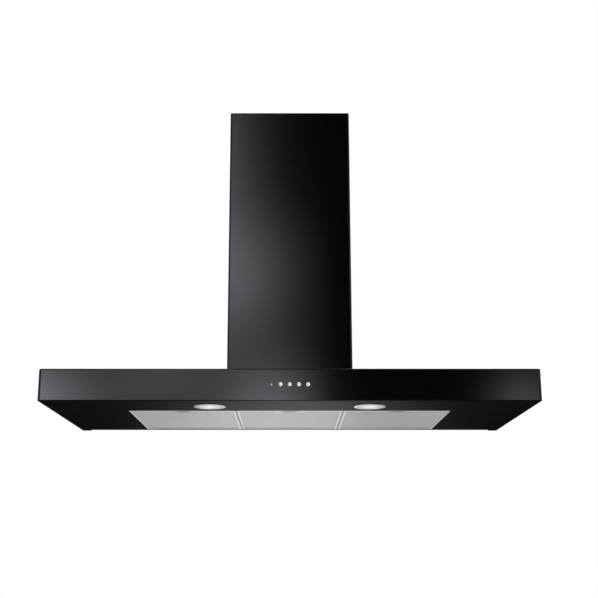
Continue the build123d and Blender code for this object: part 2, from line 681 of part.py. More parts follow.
def control_board():
    """The circuit board in the housing's step, with a switch behind each button and a small lamp."""
    width, wall, height = BOARD_SIZE
    face = FRONT_INSIDE + BOARD_PLACE
    board = block(centred(0, width), (face, face + wall), centred(BUTTON_HEIGHT, height))
    for x in BUTTON_PLACES:
        switch_y = (face - SWITCH_DEPTH, face)
        board += block(centred(x, SWITCH_WIDTH), switch_y, centred(BUTTON_HEIGHT, SWITCH_WIDTH))
    lamp_foot = (INDICATOR_PLACE, face, BUTTON_HEIGHT)
    lamp_tip = (INDICATOR_PLACE, face - BOARD_LAMP_LENGTH, BUTTON_HEIGHT)
    return board + rod(lamp_foot, lamp_tip, BOARD_LAMP_RADIUS)


def outward(x, shape):
    """Turns a shape built along +Z so that it points out of the canopy's front, from the front face."""
    return Pos(x, FRONT, BUTTON_HEIGHT) * Rot(90, 0, 0) * shape


def push_button(x):
    """A dished cap with a flange behind the sheet and a stem that reaches the switch."""
    flange_front, flange_rear = BUTTON_FLANGE
    rim = BUTTON_RADIUS - BUTTON_BEVEL
    dish = TangentArc((0, BUTTON_PROUD - BUTTON_DISH), (rim, BUTTON_PROUD), tangent=(1, 0))
    rest = Polyline(
        dish @ 1, (BUTTON_RADIUS, BUTTON_PROUD - BUTTON_BEVEL), (BUTTON_RADIUS, -flange_front),
        (BUTTON_FLANGE_RADIUS, -flange_front), (BUTTON_FLANGE_RADIUS, -flange_rear),
        (STEM_RADIUS, -flange_rear), (STEM_RADIUS, -STEM_END), (0, -STEM_END), dish @ 0,
    )
    return outward(x, turned(dish, rest))


def indicator_lens():
    """A clear light guide with a domed tip and a flange behind the sheet."""
    flange_radius = INDICATOR_RADIUS + INDICATOR_FLANGE
    dome = TangentArc((0, INDICATOR_PROUD), (INDICATOR_RADIUS, 0), tangent=(1, 0))
    rest = Polyline(
        dome @ 1, (INDICATOR_RADIUS, -SHEET), (flange_radius, -SHEET), (flange_radius, -2 * SHEET),
        (INDICATOR_RADIUS, -2 * SHEET), (INDICATOR_RADIUS, -INDICATOR_END), (0, -INDICATOR_END), dome @ 0,
    )
    return outward(INDICATOR_PLACE, turned(dome, rest))


def flue(width, front, back, low, high):
    """A flue channel: front and sides with a return along the wall at each rear edge."""
    half = width / 2
    line = FilletPolyline(
        (-half + FLUE_RETURN, back), (-half, back), (-half, front),
        (half, front), (half, back), (half - FLUE_RETURN, back),
        radius=FLUE_BEND,
    )
    return extrude(Pos(0, 0, low) * bent_strip(line), high - low)


def inward_tab(side, outside, reach):
    """The X range of a tab turned in from the sheet whose outer face is at this distance from the middle."""
    inside = outside - SHEET
    return sorted((side * (inside + FUSE_LAP), side * (inside - reach)))


def lower_flue():
    """The outer flue, with tabs turned in at its foot that are screwed to the canopy."""
    channel = flue(FLUE_WIDTH, -FLUE_DEPTH, 0, CANOPY_HEIGHT, FLUE_TOP)
    foot = (CANOPY_HEIGHT, CANOPY_HEIGHT + SHEET)
    for side in SIDES.values():
        channel += block(inward_tab(side, FLUE_WIDTH / 2, FLUE_TAB), FLUE_SIDE_TAB, foot)
    front_tab = inward_tab(-1, FLUE_DEPTH, FLUE_TAB)
    channel += block(centred(0, FLUE_FRONT_TAB), front_tab, foot)
    for x, y in FLUE_SCREW_PLACES:
        channel -= screw_hole(x, y, *foot)
    return channel


def upper_flue():
    """The inner flue: it slides up out of the lower one, and rests by two stop tabs on the motor box."""
    channel = flue(UPPER_FLUE_WIDTH, -FLUE_DEPTH + FLUE_NESTING, -FLUE_NESTING, UPPER_FLUE_FOOT, FLUE_TOP)
    stop_z = (UPPER_FLUE_FOOT, UPPER_FLUE_FOOT + SHEET)
    for side in SIDES.values():
        stop_x = inward_tab(side, UPPER_FLUE_WIDTH / 2, STOP_TAB)
        channel += block(stop_x, centred(BLOWER_Y, STOP_TAB_WIDTH), stop_z)
        channel -= bracket_screw_hole(side)
    return channel - vent_slots()


def vent_slots():
    """Rows of slots through both sides of the upper flue, where filtered air can return to the room."""
    places = GridLocations(*VENT_PITCH, VENT_COLUMNS, VENT_ROWS)
    slots = Sketch() + [place * SlotOverall(*VENT_SLOT) for place in places]
    left = (-FLUE_WIDTH / 2, BLOWER_Y, FLUE_TOP - VENT_DROP)
    return extrude(Plane(origin=left, x_dir=(0, 1, 0), z_dir=(1, 0, 0)) * slots, FLUE_WIDTH)


def bracket_screw_seat(side):
    """Where a bracket screw's head lies on the side of the upper flue."""
    return (side * UPPER_FLUE_WIDTH / 2, BRACKET_SCREW_Y, BRACKET_MIDDLE)


def bracket_screw_hole(side):
    """The hole for a bracket screw through the upper flue's side and the bracket's ear."""
    seat = Vector(bracket_screw_seat(side))
    way = Vector(side, 0, 0)
    return rod(seat + way * CUT_PAST, seat - way * (BRACKET_SCREW + CUT_PAST), SCREW_RADIUS + SCREW_PLAY)


def bracket_screws():
    """Low-headed screws that hold the upper flue on its bracket."""
    seats = {side: bracket_screw_seat(side) for side in SIDES.values()}
    return group(screw(seat, (-side, 0, 0), BRACKET_SCREW, head=LOW_HEAD) for side, seat in seats.items())


def flue_bracket():
    """A joggled strap: flat on the wall, then forward past the flue's returns and along its sides."""
    reach = UPPER_FLUE_WIDTH / 2 - SHEET
    step = BRACKET_STRAP + BRACKET_SLOPE
    line = FilletPolyline(
        (-reach, -BRACKET_EAR), (-reach, -BRACKET_JOGGLE), (-step, -BRACKET_JOGGLE), (-BRACKET_STRAP, 0),
        (BRACKET_STRAP, 0), (step, -BRACKET_JOGGLE), (reach, -BRACKET_JOGGLE), (reach, -BRACKET_EAR),
        radius=BRACKET_BEND,
    )
    section = Pos(0, 0, BRACKET_RANGE[0]) * bent_strip(line, BRACKET_WALL, Side.RIGHT)
    strap = extrude(section, BRACKET_RANGE[1] - BRACKET_RANGE[0])
    for side in SIDES.values():
        strap -= wall_hole(side * BRACKET_HOLE_X, BRACKET_MIDDLE, BRACKET_HOLE_RADIUS, BRACKET_WALL)
        strap -= bracket_screw_hole(side)
    return strap


def motor_box():
    """A folded box, open below, with a flange turned in at its foot and the blower's outlet in its top."""
    spans = (centred(0, 2 * BOX_X), BOX_Y, (BOX_BASE, BOX_TOP))
    walls = fillet(block(*spans).edges().filter_by(Axis.Z), BOX_BEND)
    hollow = fillet(inset(SHEET, *spans).edges().filter_by(Axis.Z), BOX_BEND - SHEET)
    box = walls - hollow - blower_opening(BOX_BASE, BOX_BASE + SHEET)
    box -= extrude(throat_outline(BOX_CEILING), SHEET)
    for x, y in BOX_SCREW_PLACES:
        box -= screw_hole(x, y, BOX_BASE, BOX_BASE + SHEET)
    for x, y in COLLAR_SCREW_PLACES:
        box -= screw_hole(x, y, BOX_CEILING, BOX_TOP, THIN_SCREW_RADIUS)
    return box - rod((*GLAND_PLACE, BOX_CEILING), (*GLAND_PLACE, BOX_TOP), GLAND_HOLE_RADIUS)


def throat_outline(height, margin=0, corner=None):
    """The throat's section at a height, larger by margin all round, with square or round corners."""
    depth = 2 * (SCROLL_HALF_DEPTH - SCROLL_WALL)
    size = (THROAT_WIDTH + 2 * margin, depth + 2 * margin)
    shape = RectangleRounded(*size, corner) if corner else Rectangle(*size)
    return Pos(0, BLOWER_Y, height) * shape


def motor_box_gasket():
    """A flat rubber frame under the motor box."""
    frame = block(centred(0, 2 * BOX_X), BOX_Y, (CANOPY_HEIGHT, BOX_BASE))
    frame -= blower_opening(CANOPY_HEIGHT, BOX_BASE)
    for x, y in BOX_SCREW_PLACES:
        frame -= screw_hole(x, y, CANOPY_HEIGHT, BOX_BASE)
    return frame


def scroll_quarters():
    """Each quarter arc of the spiral: its centre in X and Z, its radius and its first angle."""
    half = SCROLL_STEP / 2
    quarters = []
    for step, (dx, dz) in enumerate([(-half, -half), (half, -half), (half, half)]):
        centre = (SCROLL_X + dx, SCROLL_Z + dz)
        quarters.append((centre, SCROLL_FIRST_RADIUS + SCROLL_STEP * step, 90 * (step + 1)))
    return quarters


def scroll_outline():
    """The scroll's air space in the XZ plane: quarter arcs that widen from the tongue, then the throat."""
    arcs = [CenterArc(centre, radius, angle, 90) for centre, radius, angle in scroll_quarters()]
    tongue = arcs[0] @ 0
    outer = arcs[-1] @ 1
    throat = Polyline(outer, (outer.X, BOX_CEILING), (tongue.X, BOX_CEILING), tongue)
    outline = make_face([edge for line in [*arcs, throat] for edge in line.edges()])
    corner = outline.vertices().sort_by_distance((tongue.X, tongue.Y, 0))[0]
    return fillet(corner, TONGUE_ROUND)


def scroll_bosses():
    """Where the halves are screwed together: just outside the spiral wall and the throat."""
    reach = SCROLL_WALL + BOSS_OFFSET
    places = [(side * (THROAT_WIDTH / 2 + reach), THROAT_BOSS_Z) for side in SIDES.values()]
    for (x, z), radius, angle in scroll_quarters():
        u, v = polar(radius + reach, angle + 45)
        places.append((x + u, z + v))
    return places


def at_depth(y):
    """An upright plane facing the front, at this Y."""
    return Plane.XZ.offset(-y)


def scroll_front():
    """The front half of the scroll: spiral wall, side with the inlet, throat flange and screw bosses."""
    air = scroll_outline()
    shell = offset(air, SCROLL_WALL)
    wall_depth = SCROLL_HALF_DEPTH - SCROLL_WALL
    half = extrude(at_depth(BLOWER_Y) * (shell - air), wall_depth)
    inlet = Pos(SCROLL_X, SCROLL_Z) * Circle(INLET_RADIUS)
    half += extrude(at_depth(BLOWER_Y - wall_depth) * (shell - inlet), SCROLL_WALL)
    flange_low = BOX_CEILING - THROAT_FLANGE_WALL
    flange = throat_outline(flange_low, SCROLL_WALL + THROAT_FLANGE, THROAT_FLANGE_CORNER)
    half += extrude(flange - throat_outline(flange_low), THROAT_FLANGE_WALL)
    for x, z in scroll_bosses():
        back = (x, BLOWER_Y + CUT_PAST, z)
        half += rod((x, BLOWER_Y, z), (x, BLOWER_Y - BOSS_LENGTH, z), BOSS_RADIUS)
        half -= rod(back, (x, BLOWER_Y - BOSS_LENGTH - CUT_PAST, z), THIN_SCREW_RADIUS + SCREW_PLAY)
    for x, y in COLLAR_SCREW_PLACES:
        half -= screw_hole(x, y, flange_low, BOX_CEILING, THIN_SCREW_RADIUS)
    half = split(half, Plane.XY.offset(BOX_CEILING), keep=Keep.BOTTOM)
    return split(half, at_depth(BLOWER_Y), keep=Keep.TOP)


def scroll_rear():
    """The rear half mirrors the front one."""
    return mirror(scroll_front(), about=at_depth(BLOWER_Y))


def scroll_screws():
    """Screws through the bosses, from the front."""
    seat = BLOWER_Y - BOSS_LENGTH
    return group(screw((x, seat, z), (0, 1, 0), SCROLL_SCREW, THIN_SCREW_RADIUS) for x, z in scroll_bosses())


def impeller_blades():
    """The section of all the blades: thin arcs that lean forward from the inner to the outer radius."""
    outer = IMPELLER_RADIUS - BLADE_INSET
    middle = (BLADE_INNER_RADIUS + outer) / 2
    turn = BLADE_WALL / radians(middle)
    root = polar(BLADE_INNER_RADIUS, 0)
    lead = ThreePointArc(root, polar(middle, BLADE_LEAD * BLADE_SWEEP), polar(outer, BLADE_SWEEP))
    trail = Rot(0, 0, turn) * lead
    ends = [Line(lead @ 0, trail @ 0), Line(lead @ 1, trail @ 1)]
    blade = make_face([line.edge() for line in (lead, trail, *ends)])
    return Sketch() + [Rot(0, 0, 360 / BLADE_COUNT * step) * blade for step in range(BLADE_COUNT)]


def impeller():
    """A double-inlet wheel: forward-curved blades between two end rings, on a centre disc with a hub."""
    width = 2 * IMPELLER_HALF_WIDTH
    ring = Circle(IMPELLER_RADIUS) - Circle(BLADE_INNER_RADIUS + END_RING_INSET)
    wheel = extrude(impeller_blades(), width)
    wheel += extrude(ring, END_RING_WALL)
    wheel += Pos(0, 0, width - END_RING_WALL) * extrude(ring, END_RING_WALL)
    bore = SHAFT_RADIUS + SHAFT_FIT
    edge = IMPELLER_RADIUS - BLADE_INSET
    low, high = centred(0, DISC_WALL)
    disc = Polyline(
        (bore, low), (edge, low), (edge, high), (HUB_RADIUS + HUB_FLARE, high), (HUB_RADIUS, HUB_LENGTH),
        (bore, HUB_LENGTH),
        close=True,
    )
    wheel += Pos(0, 0, IMPELLER_HALF_WIDTH) * turned(disc)
    return at_depth(BLOWER_Y + IMPELLER_HALF_WIDTH) * (Pos(SCROLL_X, SCROLL_Z) * wheel)


def along_axis(y, shape):
    """Turns a shape built along +Z to run rearwards on the impeller's axis, from this Y."""
    return Pos(SCROLL_X, y, SCROLL_Z) * Rot(-90, 0, 0) * shape


def motor():
    """A drawn can with rounded ends and a bearing boss on each, bored for its shaft up to the rear cap."""
    can = extrude(Circle(MOTOR_RADIUS), MOTOR_LENGTH - 2 * BEARING_PROUD)
    can = fillet(can.edges().filter_by(GeomType.CIRCLE), MOTOR_ROUND)
    body = Pos(0, 0, BEARING_PROUD) * can + extrude(Circle(BEARING_RADIUS), MOTOR_LENGTH)
    bore = extrude(Circle(SHAFT_RADIUS + BEARING_PLAY), MOTOR_LENGTH - BEARING_CAP)
    return along_axis(BLOWER_Y + MOTOR_FRONT, body - bore)


def motor_shaft():
    """The shaft from the motor's far bearing through the impeller's hub."""
    front = BLOWER_Y - HUB_LENGTH - SHAFT_PROUD
    rear = BLOWER_Y + MOTOR_FRONT + MOTOR_LENGTH - BEARING_CAP - SHAFT_END_GAP
    return rod((SCROLL_X, front, SCROLL_Z), (SCROLL_X, rear, SCROLL_Z), SHAFT_RADIUS)


def motor_spider():
    """A ring on the rear inlet with three arms to a sleeve that grips the motor."""
    sleeve_radius = MOTOR_RADIUS + MOTOR_SLEEVE_PLAY
    ring_inside, ring_outside = [INLET_RADIUS + margin for margin in SPIDER_RING]
    arm_start = sleeve_radius + SPIDER_WALL / 2
    arm_length = ring_inside + SPIDER_WALL - arm_start
    arm = Pos(arm_start + arm_length / 2, 0) * Rectangle(arm_length, SPIDER_ARM_WIDTH)
    arms = Sketch() + [Rot(0, 0, SPIDER_TURN + 360 / SPIDER_ARMS * step) * arm for step in range(SPIDER_ARMS)]
    ring = Circle(ring_outside) - Circle(ring_inside)
    sleeve = Circle(sleeve_radius + SPIDER_WALL) - Circle(sleeve_radius)
    spider = extrude(ring + arms - Circle(sleeve_radius), SPIDER_WALL)
    spider += Pos(0, 0, SPIDER_WALL - MOTOR_SLEEVE) * extrude(sleeve, MOTOR_SLEEVE)
    return along_axis(BLOWER_Y + SCROLL_HALF_DEPTH, spider)


def capacitor():
    """A round can with a stud on top, on a foot against the motor box's right wall."""
    y, low = CAPACITOR_PLACE
    foot_wall, foot_width = CAPACITOR_FOOT
    stud_radius, stud = CAPACITOR_STUD
    axis = (BOX_RIGHT - CAPACITOR_AXIS, y)
    top = low + CAPACITOR_LENGTH
    can = rod((*axis, low), (*axis, top), CAPACITOR_RADIUS)
    can = fillet(can.edges().filter_by(GeomType.CIRCLE), CAPACITOR_ROUND)
    can += rod((*axis, top), (*axis, top + stud), stud_radius)
    foot = block((BOX_RIGHT - foot_wall, BOX_RIGHT), centred(y, foot_width), CAPACITOR_FOOT_Z)
    return can + fillet(foot.edges().filter_by(Axis.X), FOOT_CORNER)


def rounded_slab(span_x, margin, corner):
    """A slab of the terminal box's outline, smaller by margin all round, with its corners rounded."""
    slab = block(span_x, shrunk(TERMINAL_Y, margin), shrunk(TERMINAL_Z, margin))
    return fillet(slab.edges().filter_by(Axis.X), corner)


def terminal_box():
    """A moulded tray on the motor box's right wall, open towards the blower."""
    mouth = BOX_RIGHT - TERMINAL_DEPTH
    tray = rounded_slab((mouth, BOX_RIGHT), 0, TERMINAL_CORNER)
    hollow_x = (mouth - CUT_PAST, BOX_RIGHT - TERMINAL_WALL)
    return tray - rounded_slab(hollow_x, TERMINAL_WALL, TERMINAL_CORNER - TERMINAL_WALL)


def terminal_box_lid():
    """A flat lid with a lip inside the tray."""
    mouth = BOX_RIGHT - TERMINAL_DEPTH
    lid = rounded_slab((mouth - LID_WALL, mouth), 0, TERMINAL_CORNER)
    lip_x = (mouth - FUSE_LAP, mouth + LID_LIP)
    return lid + rounded_slab(lip_x, TERMINAL_WALL + LID_PLAY, TERMINAL_CORNER - TERMINAL_WALL)


def lamp_transformer():
    """A laminated core with its winding, on the motor box's right wall."""
    core = block((BOX_RIGHT - CORE_DEPTH, BOX_RIGHT), CORE_Y, CORE_Z)
    winding_x = (BOX_RIGHT - CORE_DEPTH - WINDING_PROUD, BOX_RIGHT - CUT_PAST)
    margin_y, margin_z = WINDING_MARGIN
    winding = block(winding_x, shrunk(CORE_Y, margin_y), shrunk(CORE_Z, margin_z))
    return core + fillet(winding.edges().filter_by(Axis.Z), WINDING_ROUND)


def cable_gland():
    """A grommet clamped in the motor box's top, with a tapered nose, bored for the mains lead."""
    neck = GLAND_HOLE_RADIUS - GLAND_PLAY
    tip_radius, tip = GLAND_TIP
    flange_radius, flange = GLAND_FLANGE
    foot = BOX_CEILING - GLAND_NUT
    outline = Polyline(
        (GLAND_BORE, BOX_TOP + tip), (tip_radius, BOX_TOP + tip), (GLAND_CONE_RADIUS, BOX_TOP + flange),
        (flange_radius, BOX_TOP + flange), (flange_radius, BOX_TOP), (neck, BOX_TOP), (neck, BOX_CEILING),
        (flange_radius, BOX_CEILING), (flange_radius, foot), (GLAND_BORE, foot),
        close=True,
    )
    return Pos(*GLAND_PLACE, 0) * turned(outline)


def duct_collar():
    """A square flange over the throat with a round spigot, a seat and bearings for the damper."""
    centre = Pos(0, BLOWER_Y, 0)
    bore_radius = COLLAR_RADIUS - COLLAR_WALL
    flange = RectangleRounded(COLLAR_FLANGE_SIZE, COLLAR_FLANGE_SIZE, COLLAR_FLANGE_CORNER)
    collar = centre * Pos(0, 0, BOX_TOP) * extrude(flange, COLLAR_FLANGE)
    collar -= extrude(throat_outline(BOX_TOP, 0, COLLAR_THROAT_CORNER), COLLAR_FLANGE)
    tube = Circle(COLLAR_RADIUS) - Circle(bore_radius)
    collar += centre * Pos(0, 0, COLLAR_SEAT) * extrude(tube, COLLAR_TUBE)
    seat = Circle(bore_radius + FUSE_LAP) - Circle(bore_radius - SEAT_WIDTH)
    seat_low = DAMPER_Z - FLAP_WALL / 2 - SEAT_GAP - SEAT_WALL
    collar += centre * Pos(0, 0, seat_low) * extrude(seat, SEAT_WALL)
    past = COLLAR_RADIUS + CUT_PAST
    collar -= rod((-past, BLOWER_Y, DAMPER_Z), (past, BLOWER_Y, DAMPER_Z), SPINDLE_RADIUS + SHAFT_FIT)
    for x, y in COLLAR_SCREW_PLACES:
        collar -= screw_hole(x, y, BOX_TOP, COLLAR_SEAT, THIN_SCREW_RADIUS)
    return collar


def damper_spindle():
    """The rod across the spigot that both flaps hang on."""
    reach = COLLAR_RADIUS - SPINDLE_INSET
    return rod((-reach, BLOWER_Y, DAMPER_Z), (reach, BLOWER_Y, DAMPER_Z), SPINDLE_RADIUS)


def damper_flap(side, first):
    """Half a disc with every second knuckle on the spindle; side is -1 for the front half, 1 for the rear."""
    radius = COLLAR_RADIUS - COLLAR_WALL - FLAP_PLAY
    inner = KNUCKLE_RADIUS + KNUCKLE_GAP
    half_plane = Pos(0, side * (inner + radius / 2)) * Rectangle(2 * radius, radius)
    flap = Pos(0, 0, -FLAP_WALL / 2) * extrude(Circle(radius) & half_plane, FLAP_WALL)
    start = -KNUCKLE_COUNT * KNUCKLE_LENGTH / 2
    web_y = sorted((0, side * (inner + FLAP_WALL)))
    for step in range(first, KNUCKLE_COUNT, 2):
        left = start + step * KNUCKLE_LENGTH
        low, high = shrunk((left, left + KNUCKLE_LENGTH), KNUCKLE_GAP / 2)
        flap += rod((low, 0, 0), (high, 0, 0), KNUCKLE_RADIUS)
        flap += block((low, high), web_y, centred(0, FLAP_WALL))
    flap -= rod((-radius, 0, 0), (radius, 0, 0), SPINDLE_RADIUS + SPINDLE_FIT)
    return Pos(0, BLOWER_Y, DAMPER_Z) * flap


def upward_screws(places, length):
    """Screws driven up from under the canopy's top."""
    return group(screw((x, y, TOP_INSIDE), (0, 0, 1), length) for x, y in places)


def pan_screws():
    """Screws that hold the pan's rear upstand to the rear panel."""
    return group(screw((x, -2 * SHEET, PAN_SCREW_HEIGHT), (0, 1, 0), PAN_SCREW) for x in PAN_SCREW_PLACES)


def collar_screws():
    """Screws down through the collar and the box top into the scroll's throat flange."""
    down = (0, 0, -1)
    return group(
        screw((x, y, COLLAR_SEAT), down, COLLAR_SCREW, THIN_SCREW_RADIUS) for x, y in COLLAR_SCREW_PLACES
    )


def all_nodes():
    """Every piece under the name of its node."""
    nodes = {
        "canopy_shell": canopy_shell(),
        "rear_panel": rear_panel(),
        "rear_rail": rear_rail(),
        "underside_pan": underside_pan(),
        "pan_screws": pan_screws(),
        "control_housing": control_housing(),
        "control_board": control_board(),
        "indicator_lens": indicator_lens(),
        "lower_flue": lower_flue(),
        "flue_screws": upward_screws(FLUE_SCREW_PLACES, FLUE_SCREW),
        "upper_flue": upper_flue(),
        "flue_bracket": flue_bracket(),
        "bracket_screws": bracket_screws(),
        "motor_box": motor_box(),
        "motor_box_gasket": motor_box_gasket(),
        "motor_box_screws": upward_screws(BOX_SCREW_PLACES, BOX_SCREW),
        "scroll_front": scroll_front(),
        "scroll_rear": scroll_rear(),
        "scroll_screws": scroll_screws(),
        "impeller": impeller(),
        "motor": motor(),
        "motor_shaft": motor_shaft(),
        "motor_spider": motor_spider(),
        "capacitor": capacitor(),
        "terminal_box": terminal_box(),
        "terminal_box_lid": terminal_box_lid(),
        "lamp_transformer": lamp_transformer(),
        "cable_gland": cable_gland(),
        "duct_collar": duct_collar(),
        "collar_screws": collar_screws(),
        "damper_spindle": damper_spindle(),
        "damper_flap_front": damper_flap(-1, 0),
        "damper_flap_rear": damper_flap(1, 1),
    }
    for number, x in enumerate(BUTTON_PLACES, 1):
        nodes[f"button_{number}"] = push_button(x)
    for name, side in SIDES.items():
        x = side * LAMP_X
        nodes[f"hanger_plate_{name}"] = hanger_plate(side * KEYHOLE_X)
        nodes[f"lamp_bezel_{name}"] = lamp_bezel(x)
        nodes[f"lamp_glass_{name}"] = lamp_glass(x)
        nodes[f"lamp_reflector_{name}"] = lamp_reflector(x)
        nodes[f"lamp_bulb_{name}"] = lamp_bulb(x)
    for name, x in FILTER_PLACES.items():
        nodes[f"filter_frame_{name}"] = filter_frame(x)
        nodes[f"filter_mesh_{name}"] = filter_mesh(x)
        nodes[f"latch_pocket_{name}"] = latch_pocket(x)
        nodes[f"filter_latch_{name}"] = filter_latch(x)
    return nodes


os.makedirs("parts", exist_ok=True)
for node, shape in all_nodes().items():
    export_step(Pos(0, 0, -WALL_POINT_HEIGHT) * shape, f"parts/{node}.step")
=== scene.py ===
# %% [markdown]
# # Dressing a black range hood
#
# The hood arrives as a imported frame: every sheet, screw, button and filter is already there at its
# real size, in metres, with the origin in the middle of the face that lies on the wall. This lesson
# leaves those pieces where they are. It gives each of them a finish, and it replaces the few whose
# charm is in fine detail, such as the expanded mesh of the filters and the turned buttons, by
# surfaces worked out with numpy.

import json
import math

import bmesh
import bpy
import numpy as np
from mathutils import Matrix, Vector


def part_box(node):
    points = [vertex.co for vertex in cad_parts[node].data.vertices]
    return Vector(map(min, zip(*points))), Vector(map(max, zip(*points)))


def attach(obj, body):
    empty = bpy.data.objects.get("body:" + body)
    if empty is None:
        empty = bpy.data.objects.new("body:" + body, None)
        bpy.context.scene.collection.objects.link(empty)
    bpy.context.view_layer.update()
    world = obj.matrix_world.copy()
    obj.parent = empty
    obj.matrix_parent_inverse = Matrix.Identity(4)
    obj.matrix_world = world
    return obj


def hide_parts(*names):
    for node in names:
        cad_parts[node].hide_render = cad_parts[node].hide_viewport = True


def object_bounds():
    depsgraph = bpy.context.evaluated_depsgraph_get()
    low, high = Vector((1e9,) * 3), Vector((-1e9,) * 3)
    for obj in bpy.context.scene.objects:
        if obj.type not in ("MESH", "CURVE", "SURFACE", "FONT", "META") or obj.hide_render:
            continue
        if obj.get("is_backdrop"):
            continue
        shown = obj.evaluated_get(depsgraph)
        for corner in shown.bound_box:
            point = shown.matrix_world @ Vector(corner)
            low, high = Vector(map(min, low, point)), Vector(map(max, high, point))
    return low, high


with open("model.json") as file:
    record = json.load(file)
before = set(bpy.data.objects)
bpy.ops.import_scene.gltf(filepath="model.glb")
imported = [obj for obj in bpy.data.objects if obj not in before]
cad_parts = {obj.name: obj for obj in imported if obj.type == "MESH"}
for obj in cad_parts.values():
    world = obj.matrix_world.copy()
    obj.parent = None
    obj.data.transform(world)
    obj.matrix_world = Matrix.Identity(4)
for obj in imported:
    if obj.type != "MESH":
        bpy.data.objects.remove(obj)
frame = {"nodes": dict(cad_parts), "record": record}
cad_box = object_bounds()

# %% [markdown]
# ## Shader maths as Python
#
# A finish is a small program: noise goes in, roughness and colour come out. It could be wired node by
# node in the editor, but a script of such wiring hides the program. So one class wraps a socket and
# turns +, - and * into Math nodes. Every other kind of node comes from its one method, which sets the
# node's options first and then fills or links its sockets.

# %% A socket that can stand in an expression
class Wire:
    """A node socket; arithmetic on it adds Math nodes to the same tree."""

    def __init__(self, tree, socket):
        self.tree = tree
        self.socket = socket

    def node(self, kind, settings=None, sockets=None, out=0):
        """Adds a node of this type with these settings and sockets, and gives one of its outputs."""
        made = self.tree.nodes.new(kind)
        for key, value in (settings or {}).items():
            if key == "stops":
                set_stops(made.color_ramp, value)
            else:
                setattr(made, key, value)
        for key, value in (sockets or {}).items():
            feed(made.inputs[key], value)
        return Wire(self.tree, made.outputs[out])

    def math(self, operation, first, second):
        """The result of a Math node with this operation."""
        return self.node("ShaderNodeMath", {"operation": operation}, {0: first, 1: second})

    def __add__(self, other):
        return self.math("ADD", self, other)

    __radd__ = __add__

    def __sub__(self, other):
        return self.math("SUBTRACT", self, other)

    def __rsub__(self, other):
        return self.math("SUBTRACT", other, self)

    def __mul__(self, other):
        return self.math("MULTIPLY", self, other)

    __rmul__ = __mul__


def feed(socket, value):
    """Links a socket to a wire, or sets it to a plain number or colour."""
    if isinstance(value, Wire):
        value.tree.links.new(value.socket, socket)
    else:
        socket.default_value = value


def set_stops(ramp, stops):
    """Gives a colour ramp these (place, grey) stops."""
    while len(ramp.elements) < len(stops):
        ramp.elements.new(1.0)
    for element, (place, level) in zip(ramp.elements, stops):
        element.position = place
        element.color = grey(level)


def grey(level, warmth=0.0):
    """A neutral colour, turned a little to red or, below zero, to blue."""
    return (level * (1 + warmth), level, level * (1 - warmth), 1.0)


print("a cool mid grey is", grey(0.5, -0.02))

# %% [markdown]
# A few short helpers cover what every finish needs: coordinates, stretched or taken apart, cloudy
# noise, a blend of two colours or of two shaders, a relief that tilts the normal, and the shader
# itself. Each could be written out where it is used, but then every finish would repeat the same node
# names. The coordinates are the object's own, in metres, so a scale is a count of blotches or lines
# per metre.

# %% Helpers that every finish uses
def stretched(where, scale):
    """Coordinates multiplied by one factor for each axis."""
    return where.node("ShaderNodeMapping", {}, {"Vector": where, "Scale": scale})


def grain(where, scale, detail=2.0):
    """Cloudy noise from 0 to 1; scale is in blotches per metre."""
    return where.node("ShaderNodeTexNoise", {}, {"Vector": where, "Scale": scale, "Detail": detail})


def axis_of(where, axis):
    """One coordinate of a vector, as a value."""
    return where.node("ShaderNodeSeparateXYZ", {}, {"Vector": where}, out=axis)


def blend(mask, first, second):
    """A colour that goes from first to second as mask goes from 0 to 1."""
    return mask.node("ShaderNodeMix", {"data_type": "RGBA"}, {0: mask, 6: first, 7: second}, out=2)


def relief(height, depth):
    """A normal from a height field whose full swing is depth metres."""
    return height.node("ShaderNodeBump", {}, {"Strength": 1.0, "Distance": depth, "Height": height})


def mixed(mask, first, second):
    """The first shader where mask is 0 and the second where it is 1."""
    return mask.node("ShaderNodeMixShader", {}, {0: mask, 1: first, 2: second})


def shaded(where, **sockets):
    """A Principled shader; base_color=... fills its socket Base Color."""
    filled = {}
    for key, value in sockets.items():
        filled[key.replace("_", " ").title().replace("Ior", "IOR")] = value
    return where.node("ShaderNodeBsdfPrincipled", {}, filled)


def finish(name, wire_up, coordinates="Object"):
    """A material whose surface is the shader that wire_up makes from these texture coordinates."""
    material = bpy.data.materials.new(name)
    material.use_nodes = True
    tree = material.node_tree
    tree.nodes.clear()
    where = Wire(tree, tree.nodes.new("ShaderNodeTexCoord").outputs[coordinates])
    output = tree.nodes.new("ShaderNodeOutputMaterial")
    feed(output.inputs["Surface"], wire_up(where))
    print("finish", name, "has", len(tree.nodes), "nodes")
    return material


helpers = (stretched, grain, axis_of, blend, relief, mixed, shaded, finish)
print("helpers for finishes:", ", ".join(helper.__name__ for helper in helpers))

# %% [markdown]
# ## The camera
#
# The photograph looks up at the hood from the front, from a little below the canopy. The view could
# be matched by eye, but a fit of the hood's corners is surer: it gave the distance, the height and the
# lens. The photographer held the picture plane nearly upright, which a small shift repeats.

# %% Place the camera
IMAGE_SIZE = 598
FOCAL_PIXELS = 1001.5
SENSOR = 36.0
CAMERA_PLACE = (0.0, -2.650, -0.383)
CAMERA_PITCH = math.radians(13.40)
CAMERA_SHIFT = (0.0155, 0.046)

